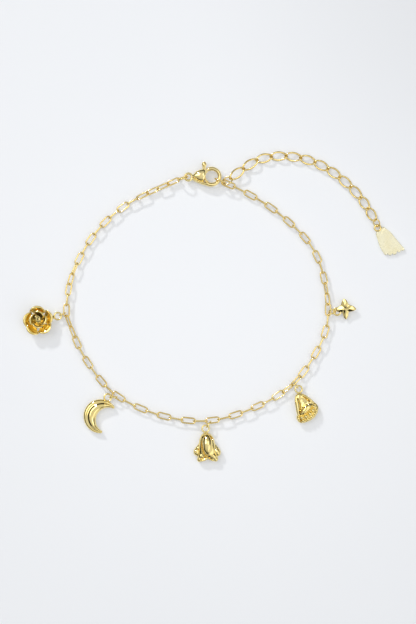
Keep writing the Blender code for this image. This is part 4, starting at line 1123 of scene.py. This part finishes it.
def build_tag(gold, loop_gold):
    """A flat bare plate with a notched end and rounded edges, soldered to its eyelet."""
    eyelet = TAG_EYELET_CENTRE + FOOTPRINT_SHIFT
    outline = [Vector(row) for row in spline(TAG_OUTLINE, TAG_OUTLINE_STEPS, closed=True)]
    top = TAG_THICKNESS / MM
    edge = [(inset, rise * TAG_BEVEL) for inset, rise in TAG_LOWER_EDGE]
    edge += [(inset, top + rise * TAG_BEVEL) for inset, rise in TAG_UPPER_EDGE]
    sections = []
    for inset, z in edge:
        inward = inset * TAG_BEVEL / TAG_REACH
        sections.append([in_charm(eyelet, *(p + (TAG_MIDDLE - p) * inward), z) for p in outline])
    tag = loose_object("tag_plate", made(add_skin, sections), gold)
    tag.data.set_sharp_from_angle(angle=TAG_SHARP_ANGLE)
    settle(tag, "tag_gold", "tag")
    ring = made(add_eyelet, eyelet, TAG_EYELET_RADIUS)
    piece("tag_eyelet", ring, loop_gold, "chain_gold")
    last_end = route_end(EXTENDER_JOINTS[-1], EXTENDER_JOINTS[-2], EXTENDER_OVERHANG)
    level = Vector((last_end.x - eyelet.x, last_end.y - eyelet.y, 0.0)).normalized()
    held = ((last_end, EXTENDER_WIRE), (eyelet + level * TAG_EYELET_RADIUS, EYELET_WIRE))
    ring_between("tag_ring", held, TAG_RING_WIRE, TAG_RING_TILT, loop_gold)


def clasp_frame():
    """From the clasp's own plane to the world."""
    turn = Matrix.Rotation(CLASP_HEADING, 4, "Z")
    return Matrix.Translation(CLASP_EYELET_CENTRE + FOOTPRINT_SHIFT) @ turn


def add_cylinder(bm, centre, radius, half):
    """An upright cylinder, half above and half below the clasp's plane."""
    ends = [Vector((centre.x, centre.y, z)) for z in (-half, half)]
    add_skin(bm, [round_section(end, radius, ROUND_SIDES) for end in ends])


def add_plate(bm, outline, half):
    """A plate of an outline, half above and half below the clasp's plane."""
    add_skin(bm, [[Vector((x, y, z)) for x, y in outline] for z in (-half, half)])


def hook_sections():
    """Sections of the back band from the eyelet and of the hook that continues it."""
    sections = []
    band = spline(CLASP_BAND, LINE_STEPS)
    for i, (u, v, half_width, half_height) in enumerate(band):
        sections.append((Vector((u, v, 0.0)) * MM, aside_of(band, i), half_width, half_height))
    for degrees, half_width, half_height in spline(HOOK_SECTIONS, LINE_STEPS):
        side = bearing(math.radians(degrees))
        centre = HOOK_CENTRE.to_3d() + side * (HOOK_INNER_RADIUS + half_width * MM)
        sections.append((centre, side, half_width, half_height))
    return [
        oval_section(centre, side, UP, half_width * MM, half_height * MM, HOOK_SIDES)
        for centre, side, half_width, half_height in sections
    ]


def bulb_sections():
    """Sections of the clasp's bulb from the eyelet to the lever."""
    return [
        oval_section(
            Vector((u, (low + high) / 2, 0.0)) * MM, NORTH, UP,
            (high - low) / 2 * MM, half_height * MM, BULB_SIDES,
        )
        for u, low, high, half_height in spline(BULB_SECTIONS, BULB_STEPS)
    ]


def clasp_eyelet_sections():
    """Sections round the clasp's eyelet, of an upright oval wire."""
    width, thickness = CLASP_EYELET_HALF_WIDTH, CLASP_EYELET_HALF_THICKNESS
    sides = [bearing(2 * math.pi * i / RING_STATIONS) for i in range(RING_STATIONS)]
    return [
        oval_section(side * CLASP_EYELET_RADIUS, side, UP, width, thickness, CLASP_EYELET_SIDES)
        for side in sides
    ]


def add_grooves(bm):
    """Cutters for the groove between bulb and band, on both faces."""
    line = spline(CLASP_GROOVE, CLASP_GROOVE_STEPS)
    size = (CLASP_GROOVE_WIDTH / 2, CLASP_GROOVE_TOP - CLASP_GROOVE_FLOOR)
    for face in (1, -1):
        sections = []
        for i, (u, v) in enumerate(line):
            centre = Vector((u, v, 0.0)) * MM + UP * (face * CLASP_GROOVE_TOP)
            aside = aside_of(line, i)
            sections.append(oval_section(centre, aside, UP, *size, CLASP_GROOVE_SIDES))
        add_skin(bm, sections)


def lever_outline():
    """The lever's outline round the pin: boss, inner edge along the hook's hole, nose, tab."""
    hole = HOOK_INNER_RADIUS + LEVER_HOLE_MARGIN
    nose = HOOK_TIP_ANGLE + LEVER_NOSE_GAP / HOOK_INNER_RADIUS
    corners = [(math.radians(degrees), hole) for degrees in LEVER_HOLE_ANGLES]
    corners += [(nose, hole), (nose, hole + HOOK_SECTIONS[-1][1] * 2 * MM)]
    points = [HOOK_CENTRE + bearing(angle).xy * reach for angle, reach in corners]
    points += [Vector(corner) * MM for corner in LEVER_TAB + LEVER_BACK]
    return [point - PIN_PLACE for point in points]


def slot_outline():
    """The room that the lever's outline sweeps as it opens, in the clasp's plane."""
    outline = lever_outline()
    nose_end = len(LEVER_HOLE_ANGLES) + 2
    closed = Matrix.Rotation(-SLOT_SLACK, 2)
    opened = Matrix.Rotation(LEVER_RANGE + 2 * SLOT_SLACK, 2)
    swept = [closed @ point for point in outline[:nose_end]]
    swept.append(Vector((swept[-1].x, SLOT_TOP)))
    back = outline[-len(LEVER_BACK) :]
    back = [opened @ point - Vector((SLOT_CLEARANCE, 0.0)) for point in back]
    swept.append(Vector((back[0].x, SLOT_TOP)))
    return [point + PIN_PLACE for point in swept + back]


def build_clasp(gold):
    """Bulb, back band, hook and eyelet in one piece, slotted and bored for lever and pin."""
    slot_half = LEVER_THICKNESS / 2 + SLOT_CLEARANCE
    boss = LEVER_BOSS_RADIUS + SLOT_CLEARANCE
    steps = (
        (made(add_skin, hook_sections()), "UNION"),
        (made(add_skin, clasp_eyelet_sections(), True), "UNION"),
        (made(add_grooves), "DIFFERENCE"),
        (made(add_plate, slot_outline(), slot_half), "DIFFERENCE"),
        (made(add_cylinder, PIN_PLACE, boss, slot_half), "DIFFERENCE"),
        (made(add_cylinder, PIN_PLACE, PIN_HOLE, 2 * CLASP_HALF_THICKNESS), "DIFFERENCE"),
    )
    body = loose_object("clasp_cast", made(add_skin, bulb_sections()), gold)
    shape_with(body, steps, clasp_frame(), gold, CLASP_VOXEL, CLASP_POLISH)
    settle(body, "clasp_gold", "clasp_body")


def build_pin(gold):
    """The lever's pin, its ends rounded over as a rivet's."""
    sections = [
        round_section(
            PIN_PLACE.to_3d() + UP * (share * PIN_LENGTH / 2), PIN_RADIUS * radius, PIN_SIDES
        )
        for share, radius in PIN_ROWS
    ]
    bm = made(add_skin, sections)
    bm.transform(clasp_frame())
    piece("clasp_pin_rivet", bm, gold, "clasp_gold", "clasp_pin")


def build_lever(gold):
    """The hinged gate of the clasp with its thumb tab."""
    half, origin = LEVER_THICKNESS / 2, Vector((0.0, 0.0))
    middle = Matrix.Translation((Vector(LEVER_TAB_MIDDLE) * MM - PIN_PLACE).to_3d())
    sizes = [size * MM for size in LEVER_TAB_HALF_SIZES]
    tab = middle @ Matrix.Diagonal((*sizes, TAB_THICKNESS / 2, 1.0))
    steps = (
        (made(add_cylinder, origin, LEVER_BOSS_RADIUS, half), "UNION"),
        (made(add_ball, tab, *TAB_GRID), "UNION"),
        (made(add_cylinder, origin, PIN_HOLE, 2 * half), "DIFFERENCE"),
    )
    lever = loose_object("clasp_lever_cast", made(add_plate, lever_outline(), half), gold)
    matrix = clasp_frame() @ Matrix.Translation(PIN_PLACE.to_3d())
    shape_with(lever, steps, matrix, gold, LEVER_VOXEL, LEVER_POLISH)
    settle(lever, "clasp_gold", "clasp_lever", body=LEVER)


def plug(tree, node, sockets):
    """Fills a node's sockets, each with a value or with another node's output."""
    for name, value in sockets.items():
        if isinstance(value, bpy.types.NodeSocket):
            tree.links.new(value, node.inputs[name])
        else:
            node.inputs[name].default_value = value


def new_node(tree, kind, sockets, **settings):
    """A node with its settings made and its sockets filled."""
    node = tree.nodes.new(kind)
    for name, setting in settings.items():
        setattr(node, name, setting)
    plug(tree, node, sockets)
    return node


def new_material(name):
    """A material, its tree and its places on the object."""
    material = bpy.data.materials.new(name)
    material.use_nodes = True
    tree = material.node_tree
    return material, tree, new_node(tree, "ShaderNodeTexCoord", {}).outputs["Object"]


def noise(tree, place, scale, detail):
    """A cloudy number from 0 to 1 for each place."""
    sockets = {"Vector": place, "Scale": scale, "Detail": detail}
    return new_node(tree, "ShaderNodeTexNoise", sockets).outputs["Fac"]


def fade(tree, value, low, high, start, end, **settings):
    """Maps low to high on to start to end, and holds the ends beyond."""
    sockets = {"Value": value, "From Min": low, "From Max": high, "To Min": start, "To Max": end}
    return new_node(tree, "ShaderNodeMapRange", sockets, **settings).outputs["Result"]


def vector_math(tree, operation, a, b, output):
    """One output of an operation on two vectors."""
    return new_node(tree, "ShaderNodeVectorMath", {0: a, 1: b}, operation=operation).outputs[output]


def ramp(tree, factor, stops):
    """Colours along a factor. A stop is its position and its colour."""
    node = new_node(tree, "ShaderNodeValToRGB", {"Fac": factor})
    elements = node.color_ramp.elements
    for element, (position, colour) in zip(list(elements), (stops[0], stops[-1])):
        element.position = position
        element.color = (*colour, 1.0)
    for position, colour in stops[1:-1]:
        elements.new(position).color = (*colour, 1.0)
    return node.outputs["Color"]


def gold_material(name, bright, deep, smooth, rough, marks, painted_shade=None):
    """Polished gold plate: cloudy in colour, with a faint haze, hairline polishing marks and, where
    asked, painted shade round a point.
    """
    material, tree, place = new_material(name)
    clouds = noise(tree, place, *GOLD_CLOUDS)
    colour = ramp(tree, clouds, [(GOLD_DEEP_BELOW, deep), (GOLD_BRIGHT_ABOVE, bright)])
    if painted_shade:
        # Painted shade: the colour darkens near the point, standing in for shade in a hollow
        point, near, far, darkest = painted_shade
        apart = vector_math(tree, "DISTANCE", place, point, "Value")
        sockets = {0: colour, "Scale": fade(tree, apart, near, far, darkest, 1.0)}
        painted_shade_scale = new_node(tree, "ShaderNodeVectorMath", sockets, operation="SCALE")
        colour = painted_shade_scale.outputs["Vector"]
    haze = fade(tree, noise(tree, place, *GOLD_HAZE), *GOLD_HAZE_RANGE, smooth, rough)
    sockets = {"Vector": place, "Rotation": HAIRLINE_TURN, "Scale": HAIRLINE_SCALE}
    stretch = new_node(tree, "ShaderNodeMapping", sockets)
    hairlines = noise(tree, stretch.outputs["Vector"], *HAIRLINE_NOISE)
    sockets = {"Strength": marks, "Distance": HAIRLINE_DEPTH, "Height": hairlines}
    bump = new_node(tree, "ShaderNodeBump", sockets)
    sockets = {"Base Color": colour, "Metallic": 1.0, "Roughness": haze}
    plug(tree, tree.nodes["Principled BSDF"], {**sockets, "Normal": bump.outputs["Normal"]})
    return material


def build_floor():
    """A pale floor glowing with painted light, a little cooler and darker to the far right."""
    material, tree, place = new_material("pale_floor")
    # Painted light: the floor glows most in a pool round the middle, less towards the far right
    glows = []
    for (x, y), reach, near, far in (FLOOR_PAINTED_LIGHT_POOL, FLOOR_PAINTED_CORNER_SHADE):
        away = vector_math(tree, "DISTANCE", place, (x * MM, y * MM, 0.0), "Value")
        glows.append(fade(tree, away, 0.0, reach * MM, near, far, interpolation_type="SMOOTHSTEP"))
    glow = new_node(tree, "ShaderNodeMath", dict(enumerate(glows)), operation="ADD")
    sockets = {
        "Base Color": ramp(tree, noise(tree, place, *FLOOR_CLOUDS), FLOOR_TONES),
        "Roughness": FLOOR_ROUGHNESS,
        "Specular IOR Level": FLOOR_SPECULAR,
        "Emission Color": FLOOR_GLOW_COLOUR,
        "Emission Strength": glow.outputs["Value"],
    }
    plug(tree, tree.nodes["Principled BSDF"], sockets)
    bm = bmesh.new()
    bmesh.ops.create_grid(bm, x_segments=1, y_segments=1, size=FLOOR_SIZE)
    floor = loose_object("floor", bm, material)


def build_world():
    """A studio round the floor: a bright ceiling, dimmer walls and a dark line low down."""
    world = bpy.data.worlds.new("studio")
    bpy.context.scene.world = world
    world.use_nodes = True
    tree = world.node_tree
    direction = new_node(tree, "ShaderNodeTexCoord", {}).outputs["Generated"]
    split = new_node(tree, "ShaderNodeSeparateXYZ", {"Vector": direction})
    # Height of the direction, warped a little so that no reflection is a ruled line
    warp = noise(tree, direction, *STUDIO_WARP)
    sockets = {0: warp, 1: STUDIO_WARP_REACH, 2: split.outputs["Z"]}
    sway = new_node(tree, "ShaderNodeMath", sockets, operation="MULTIPLY_ADD")
    total = ramp(tree, sway.outputs["Value"], STUDIO_WALLS)
    for heading, from_zenith, inner, outer, strength in SOFTBOXES:
        down = math.radians(from_zenith)
        towards = bearing(math.radians(heading)) * math.sin(down) + UP * math.cos(down)
        cosine = vector_math(tree, "DOT_PRODUCT", direction, towards, "Value")
        limits = [math.cos(math.radians(radius)) for radius in (outer, inner)]
        box = fade(tree, cosine, *limits, 0.0, strength, interpolation_type="SMOOTHSTEP")
        total = vector_math(tree, "ADD", total, box, "Vector")
    plug(tree, tree.nodes["Background"], {"Color": total, "Strength": WORLD_STRENGTH})


def build_light():
    """The key light: a small round lamp low on the upper left."""
    light = bpy.data.lights.new("key", "AREA")
    light.shape = "DISK"
    light.size = KEY_SIZE
    light.energy = KEY_POWER
    lamp = bpy.data.objects.new("key", light)
    lamp.location = KEY_DIRECTION * KEY_DISTANCE
    lamp.rotation_euler = KEY_DIRECTION.to_track_quat("Z", "Y").to_euler()
    bpy.context.scene.collection.objects.link(lamp)


def build_camera():
    """The camera, straight above and looking down."""
    data = bpy.data.cameras.new("camera")
    data.lens = LENS
    data.sensor_width = SENSOR
    data.clip_start = CLIP_START
    camera = bpy.data.objects.new("camera", data)
    camera.location = VIEW_MIDDLE + UP * VIEW_HEIGHT
    bpy.context.scene.collection.objects.link(camera)
    bpy.context.scene.camera = camera


def main():
    bpy.context.scene.view_settings.view_transform = "Standard"
    for build in (build_camera, build_world, build_light, build_floor):
        build()
    golds = {name: gold_material(name, *row) for name, row in GOLDS.items()}
    # The rose's gold has painted shade in the hollow round its heart
    rose_gold = gold_material("rose_gold", *ROSE_GOLD, painted_shade=rose_painted_shade())
    for build in (build_loop, build_extender, build_end_rings):
        build(golds["chain_gold"])
    for build in (build_clasp, build_pin, build_lever):
        build(golds["clasp_gold"])
    build_rose(rose_gold, golds["chain_gold"])
    for build in (build_moon, build_bud, build_foot, build_star):
        build(golds["charm_gold"])
    build_tag(golds["tag_gold"], golds["chain_gold"])


main()
